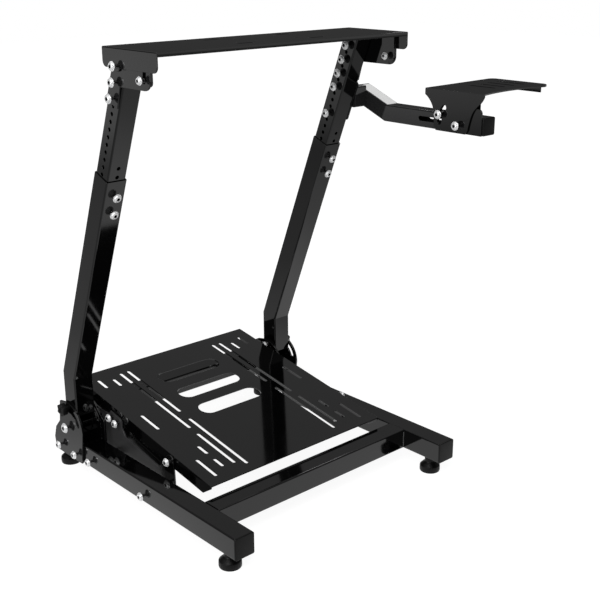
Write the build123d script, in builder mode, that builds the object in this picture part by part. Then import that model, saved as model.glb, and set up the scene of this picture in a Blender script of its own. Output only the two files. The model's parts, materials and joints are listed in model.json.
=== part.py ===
from build123d import *
from math import cos, radians, sin, tan
import os

os.makedirs("parts", exist_ok=True)

# Base frame. Setbacks run rearward from the rail fronts, lifts run up from the rail undersides.
TUBE = 40.0
TUBE_WALL = 1.8
TUBE_CORNER = 3.0
BORE_CORNER = 0.6
BORE_OVERRUN = 30.0
RAIL_LENGTH = 560.0
FRONT_BAR_SETBACK = 92.0
REAR_BAR_BEHIND_HINGE = 18.0
REAR_BAR_LIFT = 44.0
CAP_LIP = 3.0
CAP_PLUG = 5.5
CAP_FIT = 0.15

# Levelling feet
FOOT_HEIGHT = 34.0
FOOT_RADIUS = 19.5
FOOT_EDGE = 1.5
FOOT_PAD = 13.0
FOOT_SHOULDER = (13.0, 6.0)
FOOT_NECK = 10.0
FOOT_STUD = 5.0
FOOT_STUD_RISE = 10.0
FRONT_FOOT_SETBACK = 40.0
REAR_FOOT_INSET = 14.0

# Bolts: socket heads on washers, with nuts at the other end
BOLT = 4.0
BOLT_HEAD = 12.0
HEAD_RADIUS = 6.5
WASHER = 1.6
WASHER_RADIUS = 8.0
NUT = 5.5
NUT_RADIUS = 7.5
RUN_FIT = 0.05
SLIP = 0.3
SLOT_SLACK = 0.8

# Folding hinge. Places on and near it are setbacks from the pivot, with lifts from the rail undersides.
HINGE_SHEET = 4.0
HINGE_INSET = 57.0
HINGE_LIFT = 63.0
HINGE_DISC = 51.0
HINGE_PIN = 5.0
HINGE_DISC_END = 82.0
OUTER_DISC_START = 178.0
INNER_DISC_START = 145.0
LOCK_ORBIT = 39.0
LOCK_ANGLE = 90.0
LOCK_SLOT_PLAY = 2.0
LOCK_SLOT_SWEEP = 68.0
HINGE_BOLTS = ((-27.0, 16.0), (30.0, 17.0))
OUTER_PLATE_FRONT = ((-41.5, 0.0),)
INNER_PLATE_FRONT = ((-57.0, 0.0), (-57.0, 80.0))
OUTER_PLATE_REAR = ((26.0, 110.0), (32.5, 66.0), (49.0, 48.0), (57.0, 24.0), (53.0, 0.0))
INNER_PLATE_REAR = ((26.0, 110.0), (60.0, 92.0), (62.0, 60.0), (62.0, 24.0), (57.0, 0.0))
STOP_HOLES = 6
STOP_HOLE_RADIUS = 1.5
STOP_HOLE_PITCH = 7.8
STOP_HOLE_FIRST = (-45.5, 41.0)
KNOB_RADIUS = 13.0
KNOB_HEIGHT = 14.0
KNOB_COLLAR = 4.0
KNOB_LOBES = 6

# Uprights
UPRIGHT_AHEAD_OF_HINGE = 28.0
LEAN = 21.8
KNEE_LIFT = 171.75
UPRIGHT_CLEARANCE = 5.0
UPRIGHT_TIP_LIFT = 92.0
UPRIGHT_TOE_AHEAD_OF_HINGE = 8.0
HEIGHT_BOLT_INSETS = (28.0, 61.5)

# Telescopic upper tubes
UPPER_WALL = 1.8
SLIDE_FIT = 0.2
UPPER_SHOWN = 201.0
UPPER_OVERLAP = 212.0
UPPER_TOP_DROP = 11.0
HOLE_PITCH = 14.0
HOLE_RADIUS = 3.4
SIDE_HOLES = 19
FRONT_HOLE_RISE = 23.5
FRONT_HOLE_PITCH = 16.75
FRONT_HOLES = 6

# Wheel plate and its tilt brackets. Drops run down from the plate's top face.
WHEEL_TOP_LIFT = 789.0
WHEEL_DEPTH = 148.6
WHEEL_SHEET = 2.5
WHEEL_FLANGE = 31.5
WHEEL_FLANGE_CORNER = 10.0
WHEEL_BEND = 2.0
WHEEL_PIVOT_BOSS = 9.0
WHEEL_AHEAD_OF_PIVOT = 109.2
BRACKET_SHEET = 3.0
TILT_GAP = 0.5
TILT_DROP = 27.7
CLAMP_AHEAD_OF_PIVOT = 69.2
CLAMP_DROP = 44.3
CLAMP_LOBE = 16.0
CLAMP_SLOT_PLAY = 1.0
BRACKET_BELOW_PIVOT = 66.5
BRACKET_BEHIND_PIVOT = 13.0
BRACKET_EDGE = 2.0
TAB_WIDTH = 30.0
WHEEL_TILT = 18.0
WHEEL_SLOT_SPACING = (156.0, 88.0)
WHEEL_SLOT_LENGTH = 36.0
WHEEL_SLOT_WIDTH = 7.0
WHEEL_HOLE_SPACING = (92.0, 56.0)

# Pedal plate and its brackets
PEDAL_WIDTH = 413.0
PEDAL_LENGTH = 434.5
PEDAL_FRONT_SETBACK = 142.0
PEDAL_FRONT_LIFT = 55.2
PEDAL_SLOPE = 9.32
PEDAL_SHEET = 2.5
PEDAL_FLANGE = 25.0
PEDAL_NOSE = (20.0, 6.0)
PEDAL_TAIL = 8.0
PEDAL_EAR = (16.0, 14.0)
PEDAL_EAR_TAPER = 4.0
PEDAL_SLOT_PLAY = 0.3
PEDAL_GAP = 0.8
PEDAL_TILT = 8.0
PEDAL_PIVOT = (115.0, -12.0)
PEDAL_CLAMPS = ((303.0, -20.0), (282.0, -22.0))
PEDAL_EAR_DROP = 58.0
PEDAL_SLOT_WIDTH = 7.0
PEDAL_CUTOUT_LENGTH = 146.0
PEDAL_CUTOUT_WIDTH = 40.0
PEDAL_CUTOUTS = (208.0, 276.0, 344.0)
FRONT_RAIL_BOLT = (258.0, 14.5)
REAR_RAIL_BOLT = (-70.0, 14.5)
SPACER_RADIUS = 8.0
SPACER_LENGTH = 17.7
PEDAL_LUG = 11.0
PEDAL_BRACKET_FOOT = 4.0
PEDAL_BRACKET_WAIST = (36.0, 37.0)
PEDAL_BRACKET_AHEAD_OF_HINGE = 8.0
# Adjusting slots: distance from the middle, then near and far end from the plate's front or rear edge.
PEDAL_FRONT_SLOTS = (
    (108.0, 21.0, 197.0),
    (126.0, 35.0, 147.0),
    (150.0, 84.0, 113.0),
    (150.0, 38.0, 65.0),
    (178.0, 21.0, 80.0),
)
PEDAL_REAR_SLOTS = (
    (108.0, 27.5, 209.5),
    (126.0, 28.5, 265.5),
    (150.0, 40.5, 70.5),
    (178.0, 28.5, 63.5),
    (178.0, 180.5, 238.5),
)

# Shifter arm, its mount and its plate. Places on it are measured from the arm's front end and middle.
MOUNT_SHEET = 4.0
MOUNT_LENGTH = 80.0
MOUNT_CORNER = 5.0
MOUNT_HOLES = (6, 10)
STUB_LENGTH = 30.0
STUB_RISE = 3.3
ARM = 32.0
ARM_WALL = 1.8
ARM_CORNER = 2.5
ARM_BEHIND_STUB = 6.5
ARM_SLOPE_RUN = 78.0
ARM_LEVEL_RUN = 233.0
ARM_DROP = 27.6
ARM_SLOT = (72.0, 149.0)
CLEVIS_SHEET = 3.0
CLEVIS_RISE = 31.2
CLEVIS_LENGTH = 103.0
CLEVIS_CORNER = 8.0
SHIFTER_SHEET = 3.0
SHIFTER_RISE = 58.2
SHIFTER_PIVOT = (49.5, -1.8)
SHIFTER_ORBIT = 44.0
SHIFTER_CLAMP_ANGLE = 21.0
SHIFTER_SLOT_SWEEP = 19.0
SHIFTER_REACH = 201.0
SHIFTER_OVERHANG = 6.0
SHIFTER_DEPTH = 141.0
SHIFTER_SKEW = 6.0
SHIFTER_CORNER = 14.0
SHIFTER_NOSE = 25.0
SHIFTER_BOW = 12.0
SHIFTER_FRONT_DROP = 5.0
SHIFTER_REAR_DROP = 12.0
SHIFTER_FRONT_CURVE = ((1.0, 42.0), (15.0, 28.0), (23.0, 11.0), (28.0, -9.0))
SHIFTER_REAR_CURVE = ((106.0, -9.0), (106.5, 7.0), (109.0, 22.0), (116.0, 35.0))
SHIFTER_FOOT = (33.0, 101.0)
SHIFTER_LIP = 17.0
SHIFTER_BEND = 2.5
SHIFTER_SLOT_XS = (82.0, 110.0, 138.0, 166.0)
SHIFTER_SLOT_LENGTH = 62.0
SHIFTER_SLOT_WIDTH = 7.0

# Places that follow from the sizes above
PEDAL_HALF = PEDAL_WIDTH / 2
PEDAL_BRACKET_X = PEDAL_HALF + PEDAL_GAP
SPACER_X = PEDAL_BRACKET_X + BRACKET_SHEET
RAIL_INNER = SPACER_X + SPACER_LENGTH
RAIL_X = RAIL_INNER + TUBE / 2
RAIL_OUTER = RAIL_INNER + TUBE
OUTER_PLATE_X = RAIL_OUTER + SLIP
INNER_PLATE_X = RAIL_INNER - SLIP - HINGE_SHEET
HINGE_OUT = OUTER_PLATE_X + HINGE_SHEET
HINGE_SETBACK = RAIL_LENGTH - HINGE_INSET
HINGE = (HINGE_SETBACK, HINGE_LIFT)
UPRIGHT_SETBACK = HINGE_SETBACK - UPRIGHT_AHEAD_OF_HINGE
KNEE_SETBACK = UPRIGHT_SETBACK + TUBE / 2
UPPER_TUBE = TUBE - 2 * TUBE_WALL - 2 * SLIDE_FIT
UPPER_OUTER = RAIL_X + UPPER_TUBE / 2
UPPER_INNER = RAIL_X - UPPER_TUBE / 2
UPPER_TOP_LIFT = WHEEL_TOP_LIFT - UPPER_TOP_DROP
TILT_REACH = (WHEEL_TOP_LIFT - TILT_DROP - KNEE_LIFT) / cos(radians(LEAN))
LOWER_REACH = TILT_REACH - UPPER_SHOWN
UPPER_START = LOWER_REACH - UPPER_OVERLAP
HEIGHT_BOLT_REACHES = [LOWER_REACH - inset for inset in HEIGHT_BOLT_INSETS]
TILT_FLANGE_X = UPPER_OUTER + BRACKET_SHEET + TILT_GAP
WHEEL_HALF = TILT_FLANGE_X + WHEEL_SHEET
ARM_X = UPPER_OUTER + MOUNT_SHEET + STUB_LENGTH
SHIFTER_FLANGE_X = ARM_X - CLEVIS_SHEET - SLIP - SHIFTER_SHEET
SIGNS = (-1, 1)
SIDES = (("left", -1), ("right", 1))


def lean_point(reach, rearward=0.0):
    lean = radians(LEAN)
    setback = KNEE_SETBACK - reach * sin(lean) + rearward * cos(lean)
    lift = KNEE_LIFT + reach * cos(lean) + rearward * sin(lean)
    return (setback, lift)


MOUNT_REACH = TILT_REACH - HOLE_PITCH * sum(MOUNT_HOLES) / 2
STUB_MIDDLE = lean_point(MOUNT_REACH + STUB_RISE)
ARM_LIFT = STUB_MIDDLE[1] - ARM_DROP
ARM_REAR_SETBACK = STUB_MIDDLE[0] + ARM_BEHIND_STUB
ARM_KNEE_SETBACK = ARM_REAR_SETBACK - ARM_SLOPE_RUN
ARM_FRONT_SETBACK = ARM_KNEE_SETBACK - ARM_LEVEL_RUN

# The frame starts under the middle of the box round the whole stand, on the floor.
LEFT_REACH = HINGE_OUT + SLIP + KNOB_HEIGHT
RIGHT_REACH = SHIFTER_FLANGE_X + SHIFTER_REACH
FRONT_REACH = ARM_FRONT_SETBACK - SHIFTER_OVERHANG
REAR_REACH = PEDAL_FRONT_SETBACK + PEDAL_LENGTH * cos(radians(PEDAL_SLOPE))
CENTRE_X = (LEFT_REACH - RIGHT_REACH) / 2
FRONT_Y = -(REAR_REACH + FRONT_REACH) / 2
BASE_Z = FOOT_HEIGHT


def side_plane(x):
    return Plane(origin=(CENTRE_X + x, FRONT_Y, BASE_Z), x_dir=(0, 1, 0), z_dir=(1, 0, 0))


def spot(x, setback, lift):
    return (CENTRE_X + x, FRONT_Y + setback, BASE_Z + lift)


def hinge_point(behind, lift):
    return (HINGE_SETBACK + behind, lift)


def arm_point(behind, up):
    return (ARM_FRONT_SETBACK + behind, ARM_LIFT + up)


def pedal_point(along, up):
    slope = radians(PEDAL_SLOPE)
    setback = PEDAL_FRONT_SETBACK + along * cos(slope) - up * sin(slope)
    lift = PEDAL_FRONT_LIFT + along * sin(slope) + up * cos(slope)
    return (setback, lift)


def orbit_point(centre, radius, angle):
    return (centre[0] + radius * cos(radians(angle)), centre[1] + radius * sin(radians(angle)))


def orbit_arc(centre, radius, start, end):
    return Edge.make_circle(radius, Plane(origin=(centre[0], centre[1], 0)), start, end)


def cross_bolt(head_x, tail_x, place, shank, nut=True):
    # The head stands out past head_x, on the side away from tail_x.
    out = 1 if head_x > tail_x else -1
    with BuildPart() as bolt:
        with BuildSketch(side_plane(tail_x)):
            with Locations(place):
                Circle(shank)
        extrude(amount=head_x - tail_x + out * BOLT_HEAD)
        with BuildSketch(side_plane(head_x)):
            with Locations(place):
                Circle(WASHER_RADIUS * shank / BOLT)
        extrude(amount=out * WASHER)
        with BuildSketch(side_plane(head_x)):
            with Locations(place):
                Circle(HEAD_RADIUS * shank / BOLT)
        extrude(amount=out * BOLT_HEAD)
        if nut:
            with BuildSketch(side_plane(tail_x)):
                with Locations(place):
                    RegularPolygon(NUT_RADIUS * shank / BOLT, 6)
            extrude(amount=-out * NUT)
    return bolt.part


def straight_tube(plane, length, size, wall, corner):
    inside = size - 2 * wall
    with BuildPart() as tube:
        with BuildSketch(plane):
            RectangleRounded(size, size, corner)
            RectangleRounded(inside, inside, max(corner - wall, BORE_CORNER), mode=Mode.SUBTRACT)
        extrude(amount=length)
    return tube.part


def bent_tube(points, size, wall, corner):
    # The bore runs past both ends, so the tube stays open there.
    inside = size - 2 * wall
    first = Vector(*points[0]) - (Vector(*points[1]) - Vector(*points[0])).normalized() * BORE_OVERRUN
    last = Vector(*points[-1]) + (Vector(*points[-1]) - Vector(*points[-2])).normalized() * BORE_OVERRUN
    start = Plane(origin=points[0], x_dir=(1, 0, 0), z_dir=Vector(*points[1]) - Vector(*points[0]))
    bore_start = Plane(origin=first, x_dir=(1, 0, 0), z_dir=Vector(*points[1]) - Vector(*points[0]))
    with BuildPart() as tube:
        with BuildLine() as run:
            Polyline(points)
        with BuildSketch(start):
            RectangleRounded(size, size, corner)
        sweep(path=run.line, transition=Transition.RIGHT)
        with BuildLine() as bore:
            Polyline([first, *points[1:-1], last])
        with BuildSketch(bore_start):
            RectangleRounded(inside, inside, max(corner - wall, BORE_CORNER))
        sweep(path=bore.line, transition=Transition.RIGHT, mode=Mode.SUBTRACT)
    return tube.part


# Rails, open at both ends for their caps
HINGE_BOLT_PLACES = [hinge_point(*place) for place in HINGE_BOLTS]
RAIL_BOLTS = (FRONT_RAIL_BOLT, hinge_point(*REAR_RAIL_BOLT))
for side, sign in SIDES:
    rail_end = Plane(origin=spot(sign * RAIL_X, CAP_LIP, TUBE / 2), x_dir=(1, 0, 0), z_dir=(0, 1, 0))
    rail_tube = straight_tube(rail_end, RAIL_LENGTH - 2 * CAP_LIP, TUBE, TUBE_WALL, TUBE_CORNER)
    with BuildPart() as rail:
        add(rail_tube)
        with BuildSketch(side_plane(sign * RAIL_X - TUBE)):
            with Locations(*RAIL_BOLTS, *HINGE_BOLT_PLACES):
                Circle(BOLT)
        extrude(amount=2 * TUBE, mode=Mode.SUBTRACT)
        with BuildSketch(Plane.XY.offset(BASE_Z - 1)):
            with Locations(
                (CENTRE_X + sign * RAIL_X, FRONT_Y + FRONT_FOOT_SETBACK),
                (CENTRE_X + sign * RAIL_X, FRONT_Y + RAIL_LENGTH - REAR_FOOT_INSET),
            ):
                Circle(FOOT_STUD)
        extrude(amount=TUBE_WALL + 2, mode=Mode.SUBTRACT)
    rail.part.label = f"{side}_rail"
    export_step(rail.part, f"parts/{side}_rail.step")

# Crossbars
front_bar_end = Plane(
    origin=spot(-RAIL_INNER, FRONT_BAR_SETBACK + TUBE / 2, TUBE / 2), x_dir=(0, 1, 0), z_dir=(1, 0, 0)
)
front_bar = straight_tube(front_bar_end, 2 * RAIL_INNER, TUBE, TUBE_WALL, TUBE_CORNER)
with BuildPart() as front_crossbar:
    add(front_bar)
front_crossbar.part.label = "front_crossbar"
export_step(front_crossbar.part, "parts/front_crossbar.step")

rear_bar_middle = hinge_point(REAR_BAR_BEHIND_HINGE + TUBE / 2, REAR_BAR_LIFT + TUBE / 2)
rear_bar_end = Plane(
    origin=spot(-INNER_PLATE_X, *rear_bar_middle),
    x_dir=(0, 1, 0),
    z_dir=(1, 0, 0),
)
rear_bar = straight_tube(rear_bar_end, 2 * INNER_PLATE_X, TUBE, TUBE_WALL, TUBE_CORNER)
with BuildPart() as rear_crossbar:
    add(rear_bar)
rear_crossbar.part.label = "rear_crossbar"
export_step(rear_crossbar.part, "parts/rear_crossbar.step")

# Plastic caps: a lip over the tube end and a plug inside it
PLUG = TUBE - 2 * TUBE_WALL - 2 * CAP_FIT
for end, lip_setback, inward in (("front", 0.0, 1), ("rear", RAIL_LENGTH, -1)):
    with BuildPart() as rail_caps:
        for sign in SIGNS:
            lip_plane = Plane(
                origin=spot(sign * RAIL_X, lip_setback, TUBE / 2), x_dir=(1, 0, 0), z_dir=(0, inward, 0)
            )
            with BuildSketch(lip_plane):
                RectangleRounded(TUBE, TUBE, TUBE_CORNER)
            extrude(amount=CAP_LIP)
            with BuildSketch(lip_plane.offset(CAP_LIP)):
                RectangleRounded(PLUG, PLUG, TUBE_CORNER)
            extrude(amount=CAP_PLUG)
    rail_caps.part.label = f"{end}_rail_caps"
    export_step(rail_caps.part, f"parts/{end}_rail_caps.step")

# Levelling feet, turned about their studs
for end, setback in (("front", FRONT_FOOT_SETBACK), ("rear", RAIL_LENGTH - REAR_FOOT_INSET)):
    for side, sign in SIDES:
        foot_plane = Plane(
            origin=spot(sign * RAIL_X, setback, -FOOT_HEIGHT), x_dir=(1, 0, 0), z_dir=(0, -1, 0)
        )
        with BuildPart() as foot:
            with BuildSketch(foot_plane):
                with BuildLine():
                    Polyline(
                        (0, 0),
                        (FOOT_RADIUS - FOOT_EDGE, 0),
                        (FOOT_RADIUS, FOOT_EDGE),
                        (FOOT_RADIUS, FOOT_PAD),
                        (FOOT_SHOULDER[0], FOOT_PAD + FOOT_SHOULDER[1]),
                        (FOOT_NECK, FOOT_PAD + FOOT_SHOULDER[1]),
                        (FOOT_NECK, FOOT_HEIGHT),
                        (FOOT_STUD, FOOT_HEIGHT),
                        (FOOT_STUD, FOOT_HEIGHT + FOOT_STUD_RISE),
                        (0, FOOT_HEIGHT + FOOT_STUD_RISE),
                        close=True,
                    )
                make_face()
            revolve(axis=Axis(foot_plane.origin, (0, 0, 1)))
        foot.part.label = f"{end}_{side}_foot"
        export_step(foot.part, f"parts/{end}_{side}_foot.step")

# Hinge plates: a disc round the pivot with the lock bolt's arc slot, and a foot along the rail
LOCK = orbit_point(HINGE, LOCK_ORBIT, LOCK_ANGLE)
LOCK_ARC = orbit_arc(HINGE, LOCK_ORBIT, LOCK_ANGLE - LOCK_SLOT_PLAY, LOCK_ANGLE + LOCK_SLOT_SWEEP)
DISC_END = orbit_point(HINGE, HINGE_DISC, HINGE_DISC_END)
STOP_FIRST = hinge_point(*STOP_HOLE_FIRST)
STOP_ROW = [(STOP_FIRST[0], STOP_FIRST[1] + STOP_HOLE_PITCH * index) for index in range(STOP_HOLES)]
PLATE_LAYERS = (
    ("outer", OUTER_PLATE_X, OUTER_PLATE_FRONT, OUTER_PLATE_REAR, OUTER_DISC_START),
    ("inner", INNER_PLATE_X, INNER_PLATE_FRONT, INNER_PLATE_REAR, INNER_DISC_START),
)
for side, sign in SIDES:
    for layer, x, front, rear, disc_start in PLATE_LAYERS:
        disc_front = orbit_point(HINGE, HINGE_DISC, disc_start)
        disc_middle = orbit_point(HINGE, HINGE_DISC, (disc_start + HINGE_DISC_END) / 2)
        front_points = [hinge_point(*place) for place in front]
        rear_points = [hinge_point(*place) for place in rear]
        with BuildPart() as hinge_plate:
            with BuildSketch(side_plane(sign * x)):
                with BuildLine():
                    Polyline(*front_points, disc_front)
                    ThreePointArc(disc_front, disc_middle, DISC_END)
                    Polyline(DISC_END, *rear_points, front_points[0])
                make_face()
                with Locations(HINGE):
                    Circle(HINGE_PIN, mode=Mode.SUBTRACT)
                with Locations(*HINGE_BOLT_PLACES):
                    Circle(BOLT, mode=Mode.SUBTRACT)
                if layer == "inner":
                    with Locations(*STOP_ROW):
                        Circle(STOP_HOLE_RADIUS, mode=Mode.SUBTRACT)
                SlotArc(LOCK_ARC, 2 * (BOLT + SLOT_SLACK), mode=Mode.SUBTRACT)
            extrude(amount=sign * HINGE_SHEET)
        hinge_plate.part.label = f"{side}_{layer}_hinge_plate"
        export_step(hinge_plate.part, f"parts/{side}_{layer}_hinge_plate.step")

# Bolts of the hinges: pivots, and the pair that holds both plates to each rail
hinge_pins = [cross_bolt(sign * HINGE_OUT, sign * INNER_PLATE_X, HINGE, HINGE_PIN) for sign in SIGNS]
with BuildPart() as hinge_pivots:
    add(hinge_pins)
hinge_pivots.part.label = "hinge_pivots"
export_step(hinge_pivots.part, "parts/hinge_pivots.step")

plate_bolts = []
for sign in SIGNS:
    for place in HINGE_BOLT_PLACES:
        plate_bolts.append(cross_bolt(sign * HINGE_OUT, sign * INNER_PLATE_X, place, BOLT))
with BuildPart() as hinge_plate_bolts:
    add(plate_bolts)
hinge_plate_bolts.part.label = "hinge_plate_bolts"
export_step(hinge_plate_bolts.part, "parts/hinge_plate_bolts.step")

# Pedal brackets, stood off the rails on spacers
PEDAL_PIN = pedal_point(*PEDAL_PIVOT)
PEDAL_LOCKS = [pedal_point(*place) for place in PEDAL_CLAMPS]
LUG_FRONT = (PEDAL_PIN[0] - PEDAL_LUG, PEDAL_PIN[1])
LUG_REAR = (PEDAL_PIN[0] + PEDAL_LUG, PEDAL_PIN[1])
BRACKET_TOE = (RAIL_BOLTS[0][0] - PEDAL_LUG - BRACKET_SHEET, PEDAL_BRACKET_FOOT)
BRACKET_HEEL = hinge_point(-PEDAL_BRACKET_AHEAD_OF_HINGE, PEDAL_BRACKET_FOOT)
for side, sign in SIDES:
    with BuildPart() as pedal_bracket:
        with BuildSketch(side_plane(sign * PEDAL_BRACKET_X)):
            with BuildLine():
                Line(BRACKET_TOE, LUG_FRONT)
                ThreePointArc(LUG_FRONT, (PEDAL_PIN[0], PEDAL_PIN[1] + PEDAL_LUG), LUG_REAR)
                Polyline(
                    LUG_REAR,
                    (PEDAL_PIN[0] + PEDAL_BRACKET_WAIST[0], PEDAL_BRACKET_WAIST[1]),
                    (PEDAL_LOCKS[1][0] - 2 * PEDAL_LUG, PEDAL_LOCKS[1][1] - 2 * PEDAL_LUG),
                    (PEDAL_LOCKS[1][0] - PEDAL_LUG, PEDAL_LOCKS[1][1] - PEDAL_LUG / 2),
                    (PEDAL_LOCKS[1][0] - PEDAL_LUG, PEDAL_LOCKS[1][1] + PEDAL_LUG / 2),
                    (PEDAL_LOCKS[1][0] - PEDAL_LUG / 2, PEDAL_LOCKS[1][1] + PEDAL_LUG),
                    (PEDAL_LOCKS[0][0] + PEDAL_LUG / 2, PEDAL_LOCKS[0][1] + PEDAL_LUG),
                    (PEDAL_LOCKS[0][0] + PEDAL_LUG, PEDAL_LOCKS[0][1] + PEDAL_LUG / 4),
                    (BRACKET_HEEL[0], PEDAL_LOCKS[0][1] + PEDAL_LUG / 4),
                    BRACKET_HEEL,
                    BRACKET_TOE,
                )
            make_face()
            with Locations(PEDAL_PIN, *PEDAL_LOCKS, *RAIL_BOLTS):
                Circle(BOLT, mode=Mode.SUBTRACT)
        extrude(amount=sign * BRACKET_SHEET)
    pedal_bracket.part.label = f"{side}_pedal_bracket"
    export_step(pedal_bracket.part, f"parts/{side}_pedal_bracket.step")

with BuildPart() as bracket_spacers:
    for sign in SIGNS:
        with BuildSketch(side_plane(sign * SPACER_X)):
            with Locations(*RAIL_BOLTS):
                Circle(SPACER_RADIUS)
                Circle(BOLT, mode=Mode.SUBTRACT)
        extrude(amount=sign * SPACER_LENGTH)
bracket_spacers.part.label = "bracket_spacers"
export_step(bracket_spacers.part, "parts/bracket_spacers.step")

rail_through = []
for sign in SIGNS:
    for place in RAIL_BOLTS:
        rail_through.append(cross_bolt(sign * RAIL_OUTER, sign * PEDAL_BRACKET_X, place, BOLT))
with BuildPart() as rail_bolts:
    add(rail_through)
rail_bolts.part.label = "rail_bolts"
export_step(rail_bolts.part, "parts/rail_bolts.step")

pedal_fixings = []
for sign in SIGNS:
    for place in (PEDAL_PIN, *PEDAL_LOCKS):
        inner = PEDAL_HALF - PEDAL_SHEET - SLIP
        pedal_fixings.append(cross_bolt(sign * SPACER_X, sign * inner, place, BOLT))
with BuildPart() as pedal_bolts:
    add(pedal_fixings)
pedal_bolts.part.label = "pedal_bolts"
export_step(pedal_bolts.part, "parts/pedal_bolts.step")

# Lower upright tubes: a knee above the hinge, the foot end cut back so it can swing down
UPRIGHT_FOOT = TUBE + UPRIGHT_CLEARANCE
for side, sign in SIDES:
    knee = spot(sign * RAIL_X, KNEE_SETBACK, KNEE_LIFT)
    foot_end = spot(sign * RAIL_X, KNEE_SETBACK, UPRIGHT_FOOT)
    collar = spot(sign * RAIL_X, *lean_point(LOWER_REACH))
    bent = bent_tube([foot_end, knee, collar], TUBE, TUBE_WALL, TUBE_CORNER)
    with BuildPart() as lower_tube:
        add(bent)
        with BuildSketch(side_plane(sign * RAIL_X - TUBE)):
            with BuildLine():
                Polyline(
                    (UPRIGHT_SETBACK - 2, UPRIGHT_TIP_LIFT),
                    (UPRIGHT_SETBACK + 2 * TUBE_WALL, UPRIGHT_TIP_LIFT),
                    hinge_point(-UPRIGHT_TOE_AHEAD_OF_HINGE, UPRIGHT_FOOT - 2),
                    (UPRIGHT_SETBACK - 2, UPRIGHT_FOOT - 2),
                    close=True,
                )
            make_face()
        extrude(amount=2 * TUBE, mode=Mode.SUBTRACT)
        with BuildSketch(side_plane(sign * RAIL_X - TUBE)):
            with Locations(HINGE):
                Circle(HINGE_PIN + RUN_FIT)
            with Locations(LOCK):
                Circle(BOLT)
        extrude(amount=2 * TUBE, mode=Mode.SUBTRACT)
        for reach in HEIGHT_BOLT_REACHES:
            bolt_plane = Plane(
                origin=spot(sign * RAIL_X, *lean_point(reach, -TUBE / 2 - 1)),
                x_dir=(1, 0, 0),
                z_dir=(0, cos(radians(LEAN)), sin(radians(LEAN))),
            )
            with BuildSketch(bolt_plane):
                Circle(BOLT)
            extrude(amount=TUBE_WALL + 2, mode=Mode.SUBTRACT)
    lower_tube.part.label = f"{side}_lower_tube"
    export_step(lower_tube.part, f"parts/{side}_lower_tube.step")

# Lock bolts of the fold, with a nut inside and a hand knob outside
with BuildPart() as hinge_lock_bolts:
    for sign in SIGNS:
        with BuildSketch(side_plane(sign * (INNER_PLATE_X - SLIP))):
            with Locations(LOCK):
                Circle(BOLT)
        extrude(amount=sign * (HINGE_OUT + SLIP + KNOB_COLLAR - INNER_PLATE_X + SLIP))
        with BuildSketch(side_plane(sign * (INNER_PLATE_X - SLIP))):
            with Locations(LOCK):
                RegularPolygon(NUT_RADIUS, 6)
        extrude(amount=-sign * NUT)
hinge_lock_bolts.part.label = "hinge_lock_bolts"
export_step(hinge_lock_bolts.part, "parts/hinge_lock_bolts.step")

KNOB_LOBE = KNOB_RADIUS / 4
with BuildPart() as hinge_lock_knobs:
    for sign in SIGNS:
        with BuildSketch(side_plane(sign * (HINGE_OUT + SLIP))):
            with Locations(LOCK):
                Circle(KNOB_RADIUS * 2 / 3)
                Circle(BOLT, mode=Mode.SUBTRACT)
        extrude(amount=sign * KNOB_COLLAR)
        with BuildSketch(side_plane(sign * (HINGE_OUT + SLIP + KNOB_COLLAR))):
            with Locations(LOCK):
                Circle(KNOB_RADIUS - KNOB_LOBE / 2)
                with PolarLocations(KNOB_RADIUS - KNOB_LOBE, KNOB_LOBES):
                    Circle(KNOB_LOBE)
        extrude(amount=sign * (KNOB_HEIGHT - KNOB_COLLAR))
hinge_lock_knobs.part.label = "hinge_lock_knobs"
export_step(hinge_lock_knobs.part, "parts/hinge_lock_knobs.step")

# Height bolts clamp through the front wall of each lower tube
with BuildPart() as height_bolts:
    for sign in SIGNS:
        for reach in HEIGHT_BOLT_REACHES:
            head_plane = Plane(
                origin=spot(sign * RAIL_X, *lean_point(reach, -TUBE / 2)),
                x_dir=(1, 0, 0),
                z_dir=(0, -cos(radians(LEAN)), -sin(radians(LEAN))),
            )
            with BuildSketch(head_plane):
                Circle(WASHER_RADIUS)
            extrude(amount=WASHER)
            with BuildSketch(head_plane):
                Circle(HEAD_RADIUS)
            extrude(amount=BOLT_HEAD)
            with BuildSketch(head_plane):
                Circle(BOLT)
            extrude(amount=-TUBE_WALL)
height_bolts.part.label = "height_bolts"
export_step(height_bolts.part, "parts/height_bolts.step")

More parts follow.
